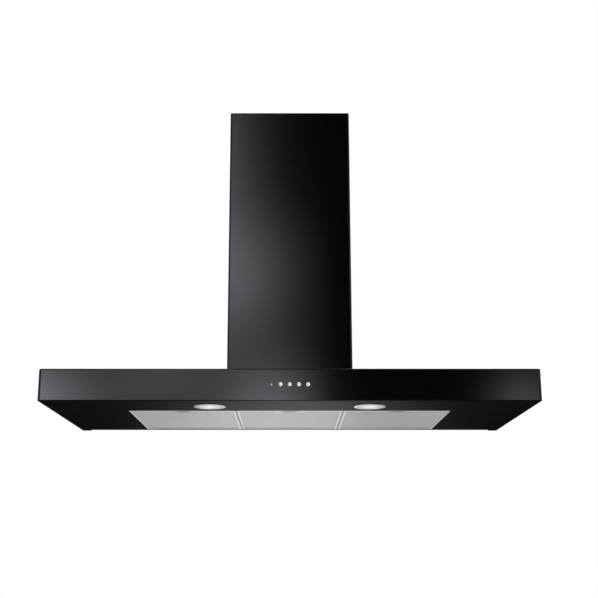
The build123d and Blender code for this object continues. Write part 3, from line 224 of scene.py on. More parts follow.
camera_data = bpy.data.cameras.new("camera")
camera_data.sensor_width = SENSOR
camera_data.lens = FOCAL_PIXELS / IMAGE_SIZE * SENSOR
camera_data.shift_x, camera_data.shift_y = CAMERA_SHIFT
camera = bpy.data.objects.new("camera", camera_data)
camera.location = CAMERA_PLACE
camera.rotation_euler = (math.pi / 2 + CAMERA_PITCH, 0.0, 0.0)
bpy.context.scene.collection.objects.link(camera)
bpy.context.scene.camera = camera
bpy.context.scene.view_settings.view_transform = "Standard"
print("lens", round(camera_data.lens, 1), "mm")

# %% [markdown]
# ## The studio
#
# Black paint has hardly any colour of its own: what we see on it is the room. So the room is built
# first. A plain white world would give the white background, but also flat light from everywhere. This
# one is white to the camera and to reflections, and a little dimmer as a light.

# %% A white world that lights gently
AMBIENT = 0.9


def white_world():
    """White to camera, glossy and transmitted rays, and AMBIENT as the light on surfaces."""
    world = bpy.data.worlds.new("studio")
    world.use_nodes = True
    tree = world.node_tree
    tree.nodes.clear()
    path = tree.nodes.new("ShaderNodeLightPath")
    seen = Wire(tree, path.outputs["Is Camera Ray"])
    for ray in ("Is Glossy Ray", "Is Transmission Ray"):
        seen = seen.math("MAXIMUM", seen, Wire(tree, path.outputs[ray]))
    colour = blend(seen, grey(AMBIENT), grey(1.0))
    background = seen.node("ShaderNodeBackground", {}, {"Color": colour, "Strength": 1.0})
    output = tree.nodes.new("ShaderNodeOutputWorld")
    feed(output.inputs["Surface"], background)
    bpy.context.scene.world = world


white_world()
print("the world lights at", AMBIENT)

# %% [markdown]
# The floor is a plain pale card. A hood hangs high and is looked at from below, where a solid floor
# would hide it. Taking the floor away would lose the shadow, so its back face is clear instead.

# %% The floor
FLOOR_HEIGHT = -0.75
FLOOR_MIDDLE = (0, -0.5, FLOOR_HEIGHT)
FLOOR_HALF = 3.0


def card(name, centre, across, up, material):
    """A flat stage card: centre plus or minus two half-edge vectors."""
    centre, across, up = (np.array(v) for v in (centre, across, up))
    corners = [centre - across - up, centre + across - up, centre + across + up, centre - across + up]
    mesh = bpy.data.meshes.new(name)
    mesh.from_pydata([tuple(c) for c in corners], [], [(0, 1, 2, 3)])
    mesh.materials.append(material)
    made = bpy.data.objects.new(name, mesh)
    bpy.context.scene.collection.objects.link(made)
    made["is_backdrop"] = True
    print(name, "is", 2 * np.linalg.norm(across), "by", 2 * np.linalg.norm(up), "m")
    return made


def floor_finish(where):
    """Pale paint on top, and clear from below."""
    paint = shaded(where, base_color=blend(grain(where, 40.0), grey(0.80), grey(0.86)), roughness=0.6)
    below = where.node("ShaderNodeNewGeometry", out="Backfacing")
    return mixed(below, paint, where.node("ShaderNodeBsdfTransparent"))


pale_floor = finish("pale_floor", floor_finish)
card("floor", FLOOR_MIDDLE, (FLOOR_HALF, 0, 0), (0, FLOOR_HALF, 0), pale_floor)

# %% [markdown]
# A tent of black curtains keeps the white world out of the glossy front, and a few lamps are thrown on
# the cloth. Their soft pools are the grey gradients of the photograph: a tall pool on the left, a low
# one in the middle, weaker ones between, and a small one far right. A flag, the black panel that
# photographers put before a lamp, cuts the pools off right of the middle, and the hood stays black
# there up to the far right one. Lamps with real beams would need many samples to look smooth. A pool
# that is a formula on the cloth is smooth at once.

# %% Black cloth with pools of light
LAMP_TINT = (1.02, 1.0, 1.10)
CLOTH = (grey(0.004), grey(0.010))


def pool(axes, radiance, across, up, width, height):
    """radiance exp(-u^2 - v^2), u and v being the distances from its middle in widths and heights."""
    u = (axes[0] - across) * (1 / width)
    v = (axes[1] - up) * (1 / height)
    return radiance * u.math("POWER", math.e, 0.0 - (u * u + v * v))


def flagged(light, place, start, stop):
    """Light that a flag takes away smoothly as place goes from start to stop."""
    sockets = {"Value": place, "From Min": start, "From Max": stop, "To Min": 1.0, "To Max": 0.0}
    return light * place.node("ShaderNodeMapRange", {"interpolation_type": "SMOOTHSTEP"}, sockets)


def lit_cloth(pools, across="X", flag=None, beyond=()):
    """Black cloth with pools of light; a flag shades the first ones, but not those beyond it."""
    def wire_up(where):
        axes = [axis_of(where, axis) for axis in (across, "Z")]
        light = sum(pool(axes, *place) for place in pools)
        if flag:
            light = flagged(light, axes[0], *flag)
        light = sum((pool(axes, *place) for place in beyond), light)
        sockets = {0: LAMP_TINT, "Scale": light}
        glow = light.node("ShaderNodeVectorMath", {"operation": "SCALE"}, sockets)
        return shaded(
            where,
            base_color=blend(grain(where, 3.0), *CLOTH),
            roughness=1.0,
            emission_color=glow,
            emission_strength=1.0,
        )
    return wire_up


def plain_cloth(where):
    """Unlit black cloth on a flat card, with painted shade of folds: vertical streaks of a darker and a
    lighter black.
    """
    # Painted shade: vertical streaks of darker black stand for the shade between folds of the cloth.
    painted_fold_shade = grain(stretched(where, (6.0, 6.0, 0.5)), 1.0)
    return shaded(where, base_color=blend(painted_fold_shade, *CLOTH), roughness=1.0, specular_ior_level=0.0)


# Each pool is its radiance, its place across and up the cloth, its width and its height, in metres.
FRONT_POOLS = [
    (3.1, -0.70, 1.88, 0.36, 1.10),  # the chimney's left half
    (5.4, -0.12, 0.00, 0.24, 0.62),  # the canopy's middle and the chimney's foot
    (1.6, -0.32, 1.40, 0.31, 0.38),  # a brighter band across the chimney
    (0.4, -0.75, 0.50, 0.45, 0.35),  # the canopy left of the middle
    (6.0, -1.70, 0.49, 0.46, 0.28),  # the canopy's left end
]
FLAG = (0.15, 0.27)
RIGHT_END_POOL = (1.9, 1.34, 0.42, 0.16, 0.24)
WING_POOLS = [(2.2, side * 2.5, 1.6, 0.5, 1.0) for side in (-1, 1)]
SIDE_POOLS = [(0.6, -0.7, 0.9, 1.1, 1.2), (0.4, -3.2, 1.5, 0.8, 1.2)]
BACK_POOLS = [(1.0, 0.02, -0.35, 0.46, 0.80)]
beyond_flag = [RIGHT_END_POOL, *WING_POOLS]
black_cloth = finish("black_curtain", plain_cloth)
front_cloth = finish("front_cloth", lit_cloth(FRONT_POOLS, flag=FLAG, beyond=beyond_flag))
side_cloth = finish("side_cloth", lit_cloth(SIDE_POOLS, across="Y"))
back_cloth = finish("back_cloth", lit_cloth(BACK_POOLS))

# %% [markdown]
# The tent has a front behind the camera, two sides and a top. One closed box would be simpler, but
# separate cards leave the back open to the white world, and each carries pools of its own. The low
# curtain behind the hood is what the underside mirrors. The pools on the sides, and the two wings of the
# front, lie outside what the main view mirrors: they shape the hood when it is turned. No curtain is
# seen by the camera itself.

# %% Hang the curtains
TENT_SIDE, TENT_FRONT, TENT_BACK, TENT_TOP = 3.2, -4.0, 0.3, 3.6
LOW_CURTAIN_PLACE = (0, 2.2, -0.2)
LOW_CURTAIN_HALF = 0.6
tent_middle = (TENT_FRONT + TENT_BACK) / 2
tent_rise = (TENT_TOP + FLOOR_HEIGHT) / 2
half_across = (TENT_SIDE, 0, 0)
half_along = (0, (TENT_BACK - TENT_FRONT) / 2, 0)
half_up = (0, 0, (TENT_TOP - FLOOR_HEIGHT) / 2)
for name, centre, across, up, cloth in (
    ("curtain_front", (0, TENT_FRONT, tent_rise), half_across, half_up, front_cloth),
    ("curtain_left", (-TENT_SIDE, tent_middle, tent_rise), half_along, half_up, side_cloth),
    ("curtain_right", (TENT_SIDE, tent_middle, tent_rise), half_along, half_up, side_cloth),
    ("curtain_top", (0, tent_middle, TENT_TOP), half_across, half_along, black_cloth),
    ("curtain_back", LOW_CURTAIN_PLACE, half_across, (0, 0, LOW_CURTAIN_HALF), back_cloth),
):
    card(name, centre, across, up, cloth).visible_camera = False

# %% [markdown]
# Two softboxes give the plain light. A wide one overhead lights the floor and the top. A small one lies
# on the floor below the filters, because tilted strands of metal mirror what is under them. A softbox
# is set by the radiance of its face, since that is what a mirror shows, and not by its watts.

# %% Softboxes
def softbox(name, place, target, size, radiance):
    """A rectangular area lamp whose face shines with this radiance towards target."""
    lamp = bpy.data.lights.new(name, "AREA")
    lamp.shape = "RECTANGLE"
    lamp.size, lamp.size_y = size
    lamp.energy = radiance * math.pi * size[0] * size[1]
    made = bpy.data.objects.new(name, lamp)
    made.location = place
    made.rotation_euler = (Vector(target) - Vector(place)).to_track_quat("-Z", "Y").to_euler()
    made.visible_camera = False
    bpy.context.scene.collection.objects.link(made)
    print(name, round(lamp.energy, 1), "W")


PANEL_X, PANEL_Y, PANEL_GAP = -0.07, 0.03, 0.03
panel_place = (PANEL_X, PANEL_Y, FLOOR_HEIGHT + PANEL_GAP)
softbox("ceiling", place=(0, -0.8, 3.2), target=(0, -0.5, 0), size=(5.0, 3.6), radiance=1.5)
softbox("floor_panel", panel_place, target=(PANEL_X, PANEL_Y, 0), size=(0.50, 0.62), radiance=2.0)

# %% [markdown]
# ## Finishes
#
# The canopy and the flues are sheet steel with a baked black coat. Such a coat flows out while it is
# hot and leaves an orange-peel skin about a millimetre wide and a few thousandths of a millimetre deep.
# Geometry that fine would be wasteful, so it is a bump. Under the canopy the coat is duller: that side
# is wiped with grease remover. A low specular level keeps it dark even where the eye grazes along it.

# %% Matt underside
MM = 0.001
PEEL_DEPTH = 0.003 * MM


def matt_black_finish(where):
    """Nearly black, with little gloss, a haze in its roughness and a fine orange peel."""
    haze = grain(where, 8.0, detail=3.0)
    return shaded(
        where,
        base_color=blend(haze, grey(0.001, -0.3), grey(0.002, -0.3)),
        roughness=0.18 + 0.06 * haze,
        specular_ior_level=0.0035,
        normal=relief(grain(where, 900.0), PEEL_DEPTH),
    )


matt_black = finish("matt_black_coat", matt_black_finish)

# %% [markdown]
# The outside is satin. A faint lengthwise drift in the gloss is left by the polishing of the sheet
# below. One coat covers both sides of a sheet, so one material has to be satin outside and dull within.
# Two materials on two sets of faces would do it, but the frame's meshes are left alone. The direction
# of the surface decides instead: down, back towards the middle of the canopy, or over a bend, where
# a baked coat draws thin, it turns matt.

# %% Satin black coat
BEND_WEAR = 0.8
UNDER_STOPS = [(0.15, 0.0), (0.5, 1.0)]


def satin_coat(where):
    """The outside of the sheet: dark, glossy, with a drift along the rolling direction."""
    drift = grain(stretched(where, (1.5, 1.5, 90.0)), 1.0, detail=4.0)
    haze = grain(where, 5.0, detail=3.0)
    return shaded(
        where,
        base_color=blend(haze, grey(0.0008, -0.04), grey(0.002, -0.03)),
        roughness=0.075 + 0.03 * drift + 0.02 * haze,
        normal=relief(grain(where, 700.0), PEEL_DEPTH),
    )


def looks_back(where, facing, middle):
    """1 where (place - middle) . normal is below 0: on the inside of a shell round that middle."""
    outwards = where.node("ShaderNodeVectorMath", {"operation": "SUBTRACT"}, {0: where, 1: middle})
    sockets = {0: outwards, 1: facing}
    cosine = where.node("ShaderNodeVectorMath", {"operation": "DOT_PRODUCT"}, sockets, out="Value")
    return cosine.math("LESS_THAN", cosine, 0.0)


def satin_black_finish(where, middle=None):
    """Satin, matt below and within; at bends BEND_WEAR 4 u (1 - u) matt, u being the normal's rise."""
    facing = where.node("ShaderNodeTexCoord", out="Normal")
    rise = axis_of(facing, "Z")
    dull = rise.node("ShaderNodeValToRGB", {"stops": UNDER_STOPS}, {"Fac": 0.0 - rise})
    dull = dull.math("MAXIMUM", dull, BEND_WEAR * 4 * rise * (1 - rise))
    if middle:
        dull = dull.math("MAXIMUM", dull, looks_back(where, facing, middle))
    return mixed(dull, satin_coat(where), matt_black_finish(where))


canopy_low, canopy_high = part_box("canopy_shell")
canopy_middle = tuple((canopy_low + canopy_high) / 2)
satin_black = finish("satin_black_coat", satin_black_finish)
canopy_black = finish("canopy_coat", lambda where: satin_black_finish(where, canopy_middle))

# %% [markdown]
# Bare metals share one recipe: a metallic base whose brightness drifts a little, and fine scratches
# that lie along one direction. What differs is how bright and how smooth they are, and which way they
# were drawn. So the recipe is one function, and the metals are a table.

# %% Drawn and rolled metals
SCRATCH_DEPTH = 0.003 * MM
DRIFT = 0.06


def drawn_metal(level, roughness, scratches, warmth=0.0):
    """A finish for metal whose fine scratches have this scale along each axis."""
    def wire_up(where):
        lines = grain(stretched(where, scratches), 1.0, detail=3.0)
        haze = grain(where, 25.0, detail=3.0)
        return shaded(
            where,
            base_color=blend(haze, grey(level * (1 - DRIFT), warmth), grey(level, warmth)),
            metallic=1.0,
            roughness=roughness - 0.06 + 0.08 * lines + 0.06 * haze,
            normal=relief(lines, SCRATCH_DEPTH),
        )
    return wire_up


# Each metal is its brightness, its roughness, its scratches along x, y and z, and its warmth.
METALS = {
    "filter_aluminium": (0.70, 0.50, (900, 900, 900), -0.02),
    "mesh_aluminium": (0.59, 0.40, (500, 500, 500), -0.02),
    "latch_steel": (0.62, 0.32, (1500, 40, 300)),
    "bright_aluminium": (0.88, 0.16, (60, 60, 900)),
    "ground_steel": (0.60, 0.25, (30, 1200, 1200)),
    "zinc_screws": (0.62, 0.34, (400, 400, 400), 0.03),
    "lamp_trim": (0.95, 0.14, (300, 300, 300)),
}
metals = {name: finish(name, drawn_metal(*look)) for name, look in METALS.items()}

# %% [markdown]
# The motor box and the brackets are galvanised sheet, whose zinc has frozen into crystals about a
# centimetre wide, each with a mirror direction of its own. Noise would give clouds without edges. A
# Voronoi pattern gives cells, and each cell gets one grey and one roughness.

# %% Galvanised sheet with its spangle
CRYSTALS_PER_METRE = 80.0


def galvanised_finish(where):
    """One random tone for each Voronoi cell sets both the colour and the roughness."""
    sockets = {"Vector": where, "Scale": CRYSTALS_PER_METRE}
    spangle = where.node("ShaderNodeTexVoronoi", {}, sockets, out="Color")
    tone = spangle.node("ShaderNodeSeparateColor", {}, {"Color": spangle})
    haze = grain(where, 30.0, detail=4.0)
    return shaded(
        where,
        base_color=blend(tone, grey(0.50, -0.02), grey(0.60, -0.02)),
        metallic=1.0,
        roughness=0.34 + 0.10 * tone + 0.06 * haze,
        normal=relief(haze, 0.01 * MM),
    )


galvanised = finish("galvanised_sheet", galvanised_finish)

# %% [markdown]
# Mouldings carry the grain of the tool that shaped them. A fine noise makes it, a coarser one clouds
# the colour, and the same recipe gives every plastic, rubber, ceramic and lacquer in the hood, from
# the black scroll to the white capacitor.

# %% Moulded plastics, rubber and ceramic
def moulded(light, dark, warmth, roughness, depth=0.01 * MM):
    """A finish for a moulding: a fine spark-eroded grain and a faint cloud between two greys."""
    def wire_up(where):
        cloud = grain(where, 30.0, detail=4.0)
        return shaded(
            where,
            base_color=blend(cloud, grey(dark, warmth), grey(light, warmth)),
            roughness=roughness - 0.05 + 0.10 * cloud,
            normal=relief(grain(where, 2200.0), depth),
        )
    return wire_up


# Each moulding is its lighter and darker grey, its warmth, its roughness and the depth of its grain.
MOULDINGS = {
    "black_plastic": (0.030, 0.020, 0.0, 0.45),
    "grey_plastic": (0.30, 0.25, -0.03, 0.42),
    "impeller_plastic": (0.70, 0.62, 0.02, 0.40),
    "capacitor_shell": (0.84, 0.76, 0.02, 0.35),
    "soft_rubber": (0.025, 0.016, 0.0, 0.75, 0.03 * MM),
    "bulb_ceramic": (0.92, 0.84, 0.02, 0.55),
    "motor_lacquer": (0.16, 0.11, -0.02, 0.30),
    "light_guide": (0.80, 0.70, -0.02, 0.15, 0.002 * MM),
}
mouldings = {name: finish(name, moulded(*look)) for name, look in MOULDINGS.items()}

# %% [markdown]
# The control board is green lacquer over copper. Its tracks could be drawn one by one, but the board is
# hidden in its housing, so bands of two stretched noises stand for them.

# %% Circuit board
TRACK_STOPS = [(0.60, 0.0), (0.66, 1.0)]
LACQUER = (0.010, 0.085, 0.030, 1.0)
TRACK = (0.030, 0.200, 0.070, 1.0)


def circuit_board_finish(where):
    """Tracks lie where the larger of two noises, each stretched along one axis, passes a threshold."""
    along = grain(stretched(where, (60.0, 60.0, 900.0)), 1.0)
    across = grain(stretched(where, (900.0, 60.0, 60.0)), 1.0)
    sockets = {"Fac": along.math("MAXIMUM", along, across)}
    tracks = along.node("ShaderNodeValToRGB", {"stops": TRACK_STOPS}, sockets)
    return shaded(
        where,
        base_color=blend(tracks, LACQUER, TRACK),
        roughness=0.30 + 0.10 * along,
        normal=relief(tracks, 0.03 * MM),
    )


circuit_board = finish("circuit_board", circuit_board_finish)

# %% [markdown]
# ## Surfaces from grids
#
# Each new piece is a grid of points: a profile turned about an axis, or a section carried along a path.
# Blender's own tools could spin and sweep, but numpy works out the whole grid at once and keeps the
# formula in sight. Neighbouring points are then joined to quads, in rows and columns that may close on
# themselves, and the whole arrays are poured into the mesh.

# %% From a grid of points to a piece
def grid_corners(rows, columns, close_rows, close_columns):
    """The (row, column) of each quad's four corners, before wrapping round."""
    row, column = np.meshgrid(
        np.arange(rows if close_rows else rows - 1),
        np.arange(columns if close_columns else columns - 1),
        indexing="ij",
    )
    corner_rows = np.stack([row, row + 1, row + 1, row], -1).reshape(-1, 4)
    corner_columns = np.stack([column, column, column + 1, column + 1], -1).reshape(-1, 4)
    return corner_rows, corner_columns


def mesh_piece(name, points, faces, uv=None, smooth=True):
    """An object at the origin from an array of points and an array of quads."""
    mesh = bpy.data.meshes.new(name)
    mesh.vertices.add(len(points))
    mesh.vertices.foreach_set("co", points.astype(np.float32).ravel())
    mesh.loops.add(faces.size)
    mesh.loops.foreach_set("vertex_index", faces.astype(np.int32).ravel())
    mesh.polygons.add(len(faces))
    mesh.polygons.foreach_set("loop_start", np.arange(0, faces.size, faces.shape[1], dtype=np.int32))
    mesh.polygons.foreach_set("use_smooth", np.full(len(faces), smooth))
    if uv is not None:
        layer = mesh.uv_layers.new(name="surface")
        layer.uv.foreach_set("vector", uv.astype(np.float32).ravel())
    mesh.update(calc_edges=True)
    mesh.validate()
    made = bpy.data.objects.new(name, mesh)
    bpy.context.scene.collection.objects.link(made)
    return made


def dress(piece, body, material, replaced):
    """Gives a new piece its finish and its place in the frame, where it stands for a node."""
    piece.data.materials.append(material)
    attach(piece, body)
    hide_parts(replaced)
    print(piece.name, len(piece.data.polygons), "faces")


print("a grid of 3 by 4 points has", len(grid_corners(3, 4, False, False)[0]), "quads")

# %% [markdown]
# ## Turned pieces
#
# The buttons and the lamp trims are turned on a lathe, so each is one profile swept round its axis. A
# sharp corner on a real turned piece always carries a small round, and that round is what catches the
# light. A Bevel modifier could make it, but here the profile is given by its corners and a function
# rounds them with short parabolas, which keeps the faces where the light needs them. The UV map holds
# the turn and the radius in millimetres, for finishes that follow the lathe.

# %% Round a profile and turn it
TURN_STEPS = 96
CORNER_STEPS = 5
REACH_LIMIT = 0.45  # of a side's length, so that the rounds at its two ends never meet
WELD_DISTANCE = 0.001 * MM


def rounded(corners, radius, closed=False):
    """Each corner p becomes (1-t)^2 a + 2t(1-t) p + t^2 b, a and b lying radius before and after it."""
    p = np.array(corners, float)
    before = np.roll(p, 1, 0) - p
    after = np.roll(p, -1, 0) - p
    reach = [np.minimum(radius / np.linalg.norm(v, axis=1), REACH_LIMIT) for v in (before, after)]
    a, b = p + before * reach[0][:, None], p + after * reach[1][:, None]
    t = np.linspace(0, 1, CORNER_STEPS)[None, :, None]
    arcs = (1 - t) ** 2 * a[:, None] + 2 * t * (1 - t) * p[:, None] + t**2 * b[:, None]
    if closed:
        return arcs.reshape(-1, 2)
    return np.vstack([p[:1], arcs[1:-1].reshape(-1, 2), p[-1:]])


def turned(name, profile, centre, axis, closed=False):
    """Turns a profile of (radius, height): centre + radius (side cos a + other sin a) + height axis."""
    axis = np.array(axis, float)
    side = np.cross(axis, (1, 0, 0))
    other = np.cross(axis, side)
    angle = np.linspace(0, 2 * math.pi, TURN_STEPS, endpoint=False)
    ring = np.cos(angle)[:, None] * side + np.sin(angle)[:, None] * other
    points = np.array(centre) + profile[:, None, :1] * ring + profile[:, None, 1:] * axis
    rows = len(profile)
    corner_rows, corner_columns = grid_corners(rows, TURN_STEPS, closed, True)
    faces = corner_rows % rows * TURN_STEPS + corner_columns % TURN_STEPS
    uv = np.stack([corner_columns / TURN_STEPS, profile[corner_rows % rows, 0] / MM], -1)
    piece = mesh_piece(name, points.reshape(-1, 3), faces, uv)
    weld(piece)
    return piece


def weld(piece):
    """Merges the points that meet at poles and seams, then turns every face outwards."""
    shape = bmesh.new()
    shape.from_mesh(piece.data)
    bmesh.ops.remove_doubles(shape, verts=shape.verts, dist=WELD_DISTANCE)
    bmesh.ops.recalc_face_normals(shape, faces=shape.faces)
    shape.to_mesh(piece.data)
    shape.free()


square = [(0, 0), (1, 0), (1, 1), (0, 1)]
print("a rounded square has", len(rounded(square, 0.1, closed=True)), "points")

# %% [markdown]
# The four push-buttons are polished metal caps, dished for the fingertip. Behind the front sheet each
# has a flange that stops it falling out and a stem that reaches its switch. The dish was spun, so its
# fine rings follow the radius in the UV map. Rings in object coordinates would need a centre for each
# button, and four materials.

# %% Push-buttons
RING_PHASE = 40.0  # radians of the sine for each millimetre of radius
RING_RELIEF = 0.0015 * MM


def spun_bright_finish(where):
    """Bright metal with fine rings: a sine of the radius in millimetres, broken by noise."""
    radius = axis_of(where, "Y")
    rings = radius.math("SINE", radius * RING_PHASE, 0.0)
    haze = grain(where, 3.0)
    return shaded(
        where,
        base_color=blend(haze, grey(0.80), grey(0.88)),
        metallic=1.0,
        roughness=0.36 + 0.02 * rings + 0.06 * haze,
        normal=relief(rings, RING_RELIEF),
    )


# Radii and places along the axis in millimetres; the front sheet's face is at 0.
CAP_RADIUS, CAP_FACE, CAP_ROUND = 4.8, 2.4, 0.5
DISH_DEPTH, DISH_SLOPE, RIM_WIDTH = 0.25, 0.6, 0.8
FLANGE_RADIUS, FLANGE_FRONT, FLANGE_BACK = 6.3, -1.4, -2.6
STEM_RADIUS, STEM_END = 2.0, -14.2
button_corners = [
    (0, CAP_FACE - DISH_DEPTH),
    (CAP_RADIUS - 2 * RIM_WIDTH, CAP_FACE - DISH_SLOPE * DISH_DEPTH),
    (CAP_RADIUS - RIM_WIDTH, CAP_FACE),
    (CAP_RADIUS, CAP_FACE - RIM_WIDTH),
    (CAP_RADIUS, FLANGE_FRONT),
    (FLANGE_RADIUS, FLANGE_FRONT),
    (FLANGE_RADIUS, FLANGE_BACK),
    (STEM_RADIUS, FLANGE_BACK),
    (STEM_RADIUS, STEM_END),
    (0, STEM_END),
]
button_profile = rounded(button_corners, CAP_ROUND) * MM
spun_bright = finish("spun_bright_metal", spun_bright_finish, "UV")
for number in range(1, 5):
    low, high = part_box(f"button_{number}")
    middle = ((low.x + high.x) / 2, canopy_low.y, (low.z + high.z) / 2)
    cap = turned(f"button_cap_{number}", button_profile, middle, (0, -1, 0))
    dress(cap, f"button_{number}", spun_bright, f"button_{number}")

# %% [markdown]
# Each lamp is a bright trim ring that snaps into the pan, with a disc of pressed glass flush in it. The
# glass could be clear, with the reflector and the bulb behind it. But the real one is etched, looks
# white, and is brightest in the middle, and that is a plain white surface with a glow by the radius.

# %% Etched glass
GLASS_RADIUS = 29.6
GLOW_STOPS = [(0.0, 1.0), (0.4, 0.55), (0.9, 0.1)]


def etched_glass_finish(where):
    """White etched glass; the radius, from 0 to 1, runs through GLOW_STOPS to give the glow."""
    edge = axis_of(where, "Y") * (1 / GLASS_RADIUS)
    glow = edge.node("ShaderNodeValToRGB", {"stops": GLOW_STOPS}, {"Fac": edge})
    frost = grain(where, 30.0, detail=3.0)
    return shaded(
        where,
        base_color=blend(frost, grey(0.46), grey(0.52)),
        roughness=0.30 + 0.10 * frost,
        emission_color=glow,
        emission_strength=0.65,
        normal=relief(frost, 0.01 * MM),
    )


etched_glass = finish("etched_glass", etched_glass_finish, "UV")

# %% [markdown]
# The trim's section is a flange below the pan, a bevelled bore, a seat for the glass and a thin sleeve
# through the pan. The glass swells a little downwards, and its upper face is pressed with fine rings
# that spread the light of the bulb. A ring and a disc could stand for both, but the bevel and the seat
# are what draws the bright lines round the lamp. So both are turned, like the buttons: the trim's
# section is closed on itself, and the glass runs from pole to pole.

# %% Lamp trims and glasses
# Radii, and heights above the canopy's lower edge, in millimetres.
TRIM_RADIUS, TRIM_FACE, TRIM_BACK, TRIM_ROUND = 36.0, 0.5, 2.0, 0.3
TRIM_BORE, BORE_BEVEL = 27.6, 0.4
SLEEVE_BORE, SLEEVE_RADIUS, SLEEVE_TOP = 30.0, 31.4, 14.0
GLASS_SEAT, GLASS_SHOULDER, GLASS_VIEW = 2.7, 4.6, 27.2
GLASS_SWELL, BACK_START = 0.5, 0.5
RING_HEIGHT, RING_DEPTH, RING_PITCH = 4.45, 0.2, 2.2
FACE_STEPS, BACK_STEPS = 24, 120
trim_corners = [
    (TRIM_RADIUS, TRIM_BACK),
    (TRIM_RADIUS, TRIM_FACE),
    (TRIM_BORE + BORE_BEVEL, TRIM_FACE),
    (TRIM_BORE, TRIM_FACE + BORE_BEVEL),
    (TRIM_BORE, GLASS_SEAT),
    (SLEEVE_BORE, GLASS_SEAT),
    (SLEEVE_BORE, SLEEVE_TOP),
    (SLEEVE_RADIUS, SLEEVE_TOP),
    (SLEEVE_RADIUS, TRIM_BACK),
]


def glass_profile():
    """A lower face that swells as a parabola, a straight edge, and an upper face with cosine rings."""
    out = np.linspace(0, GLASS_VIEW, FACE_STEPS)
    lower = np.stack([out, TRIM_FACE + GLASS_SWELL * (out / GLASS_VIEW) ** 2], -1)
    edge = np.array([(GLASS_RADIUS, GLASS_SEAT), (GLASS_RADIUS, GLASS_SHOULDER)])
    back = np.linspace(GLASS_RADIUS - BACK_START, 0, BACK_STEPS)
    upper = np.stack([back, RING_HEIGHT - RING_DEPTH * np.cos(2 * math.pi * back / RING_PITCH)], -1)
    return np.vstack([lower, edge, upper]) * MM


trim_profile = rounded(trim_corners, TRIM_ROUND, closed=True) * MM
for side in ("left", "right"):
    low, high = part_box(f"lamp_bezel_{side}")
    middle = ((low.x + high.x) / 2, (low.y + high.y) / 2, canopy_low.z)
    trim = turned(f"lamp_trim_{side}", trim_profile, middle, (0, 0, 1), closed=True)
    dress(trim, "hood", metals["lamp_trim"], f"lamp_bezel_{side}")
    glass = turned(f"lamp_lens_{side}", glass_profile(), middle, (0, 0, 1))
    dress(glass, "hood", etched_glass, f"lamp_glass_{side}")

# %% [markdown]
# ## Expanded mesh
#
# A grease filter is a stack of expanded aluminium: sheet that was slit in staggered rows and pulled
# until the slits opened into diamonds. An alpha pattern would be quicker, but it is flat, and the
# strands' tilted faces are what shines. So each strand is a flat ribbon that runs to and fro like a
# trapezium wave, meets its neighbours at the flats, and is tilted by the pulling. Every row starts a
# little later than the one before, as on real sheet, which also keeps the fine grid from beating with
# the pixels. Every other row stops a hair short, so that no two strands share the points of an end.

# %% Strands of expanded metal
RIBBON_WIDTH, RIBBON_THICKNESS = 1.5 * MM, 0.5 * MM
RIBBON_TILT = math.radians(-32)
BOND_SHARE = 0.16
ROW_SKEW = 0.06
END_STEP = 0.13 * MM


def ribbon_section():
    """The four corners of a strand's section: plus or minus half its width and half its thickness."""
    flat = np.array([0, math.cos(RIBBON_TILT), math.sin(RIBBON_TILT)]) * RIBBON_WIDTH / 2
    thick = np.array([0, -math.sin(RIBBON_TILT), math.cos(RIBBON_TILT)]) * RIBBON_THICKNESS / 2
    return np.array([-flat - thick, flat - thick, flat + thick, -flat + thick])


def expanded_sheet(low, high, cell, strand_pitch, height, notch):
    """Ribbons along X: y = row + half a pitch times a staggered trapezium wave; z = height(x)."""
    cells = int((high[0] - low[0]) / cell)
    start = (low[0] + high[0] - cells * cell) / 2
    corner_share = np.array([0.0, BOND_SHARE, 0.5, 0.5 + BOND_SHARE])
    along = start + cell * (np.arange(cells)[:, None] + corner_share[None, :]).ravel()
    wave = np.tile([1.0, 1.0, -1.0, -1.0], cells)
    margin = (strand_pitch + RIBBON_WIDTH) / 2
    row_y = np.arange(low[1] + margin, high[1] - margin, strand_pitch)[:, None]
    row = np.arange(len(row_y))[:, None]
    odd = row % 2
    y = row_y + strand_pitch / 2 * (1 - 2 * odd) * wave
    skew = (row * ROW_SKEW) % 1.0 - 0.5
    x = np.clip(along + cell * skew, low[0] + END_STEP * odd, high[0] - END_STEP * odd)
    points = np.stack([x, y, height(x)], -1)[:, :, None, :] + ribbon_section()
    left, right, rear = notch
    cut = (x > left) & (x < right) & (row_y < rear)
    kept = (np.diff(x) > END_STEP) & ~(cut[:, :-1] | cut[:, 1:])
    return points, ribbon_faces(kept)


def ribbon_faces(kept):
    """Four sides for each kept stretch of ribbon, and a cap where a run of stretches begins or ends."""
    rows, stretches = kept.shape
    first = (np.arange(rows)[:, None] * (stretches + 1) + np.arange(stretches)) * 4
    corner = np.arange(4)
    following = (corner + 1) % 4
    sides = first[kept][:, None, None] + np.stack([corner, following, following + 4, corner + 4], -1)
    gap = np.zeros((rows, 1), bool)
    begins = kept & ~np.hstack([gap, kept[:, :-1]])
    ends = kept & ~np.hstack([kept[:, 1:], gap])
    front = first[begins][:, None] + corner[::-1]
    back = first[ends][:, None] + corner + 4
    return np.vstack([sides.reshape(-1, 4), front, back])


print("a strand is", RIBBON_WIDTH / MM, "by", RIBBON_THICKNESS / MM, "mm")

# %% [markdown]
# Three such sheets lie in each filter. The lower one is fine. The one between is folded to and fro, so
# that grease meets it at a slant, and the upper one is coarse. One fine sheet over a dark panel would do
# from afar, but close by the eye looks through its holes and finds the next layers. All three are cut
# out round the latch's pocket and joined in one piece, so that a filter's mesh moves as one.

# %% Three sheets in each filter
FINE_CELL = (5.0 * MM, 3.2 * MM)
COARSE_CELL = (20.0 * MM, 8.0 * MM)
FOLD_PITCH = 28.0 * MM
SHEET_DROP = 0.62 * MM
POCKET_GAP = 1.2 * MM


def folded(low, high):
    """A triangle wave in x between two heights."""
    def height(x):
        return low + (high - low) * np.abs((x / FOLD_PITCH) % 1.0 * 2 - 1)
    return height


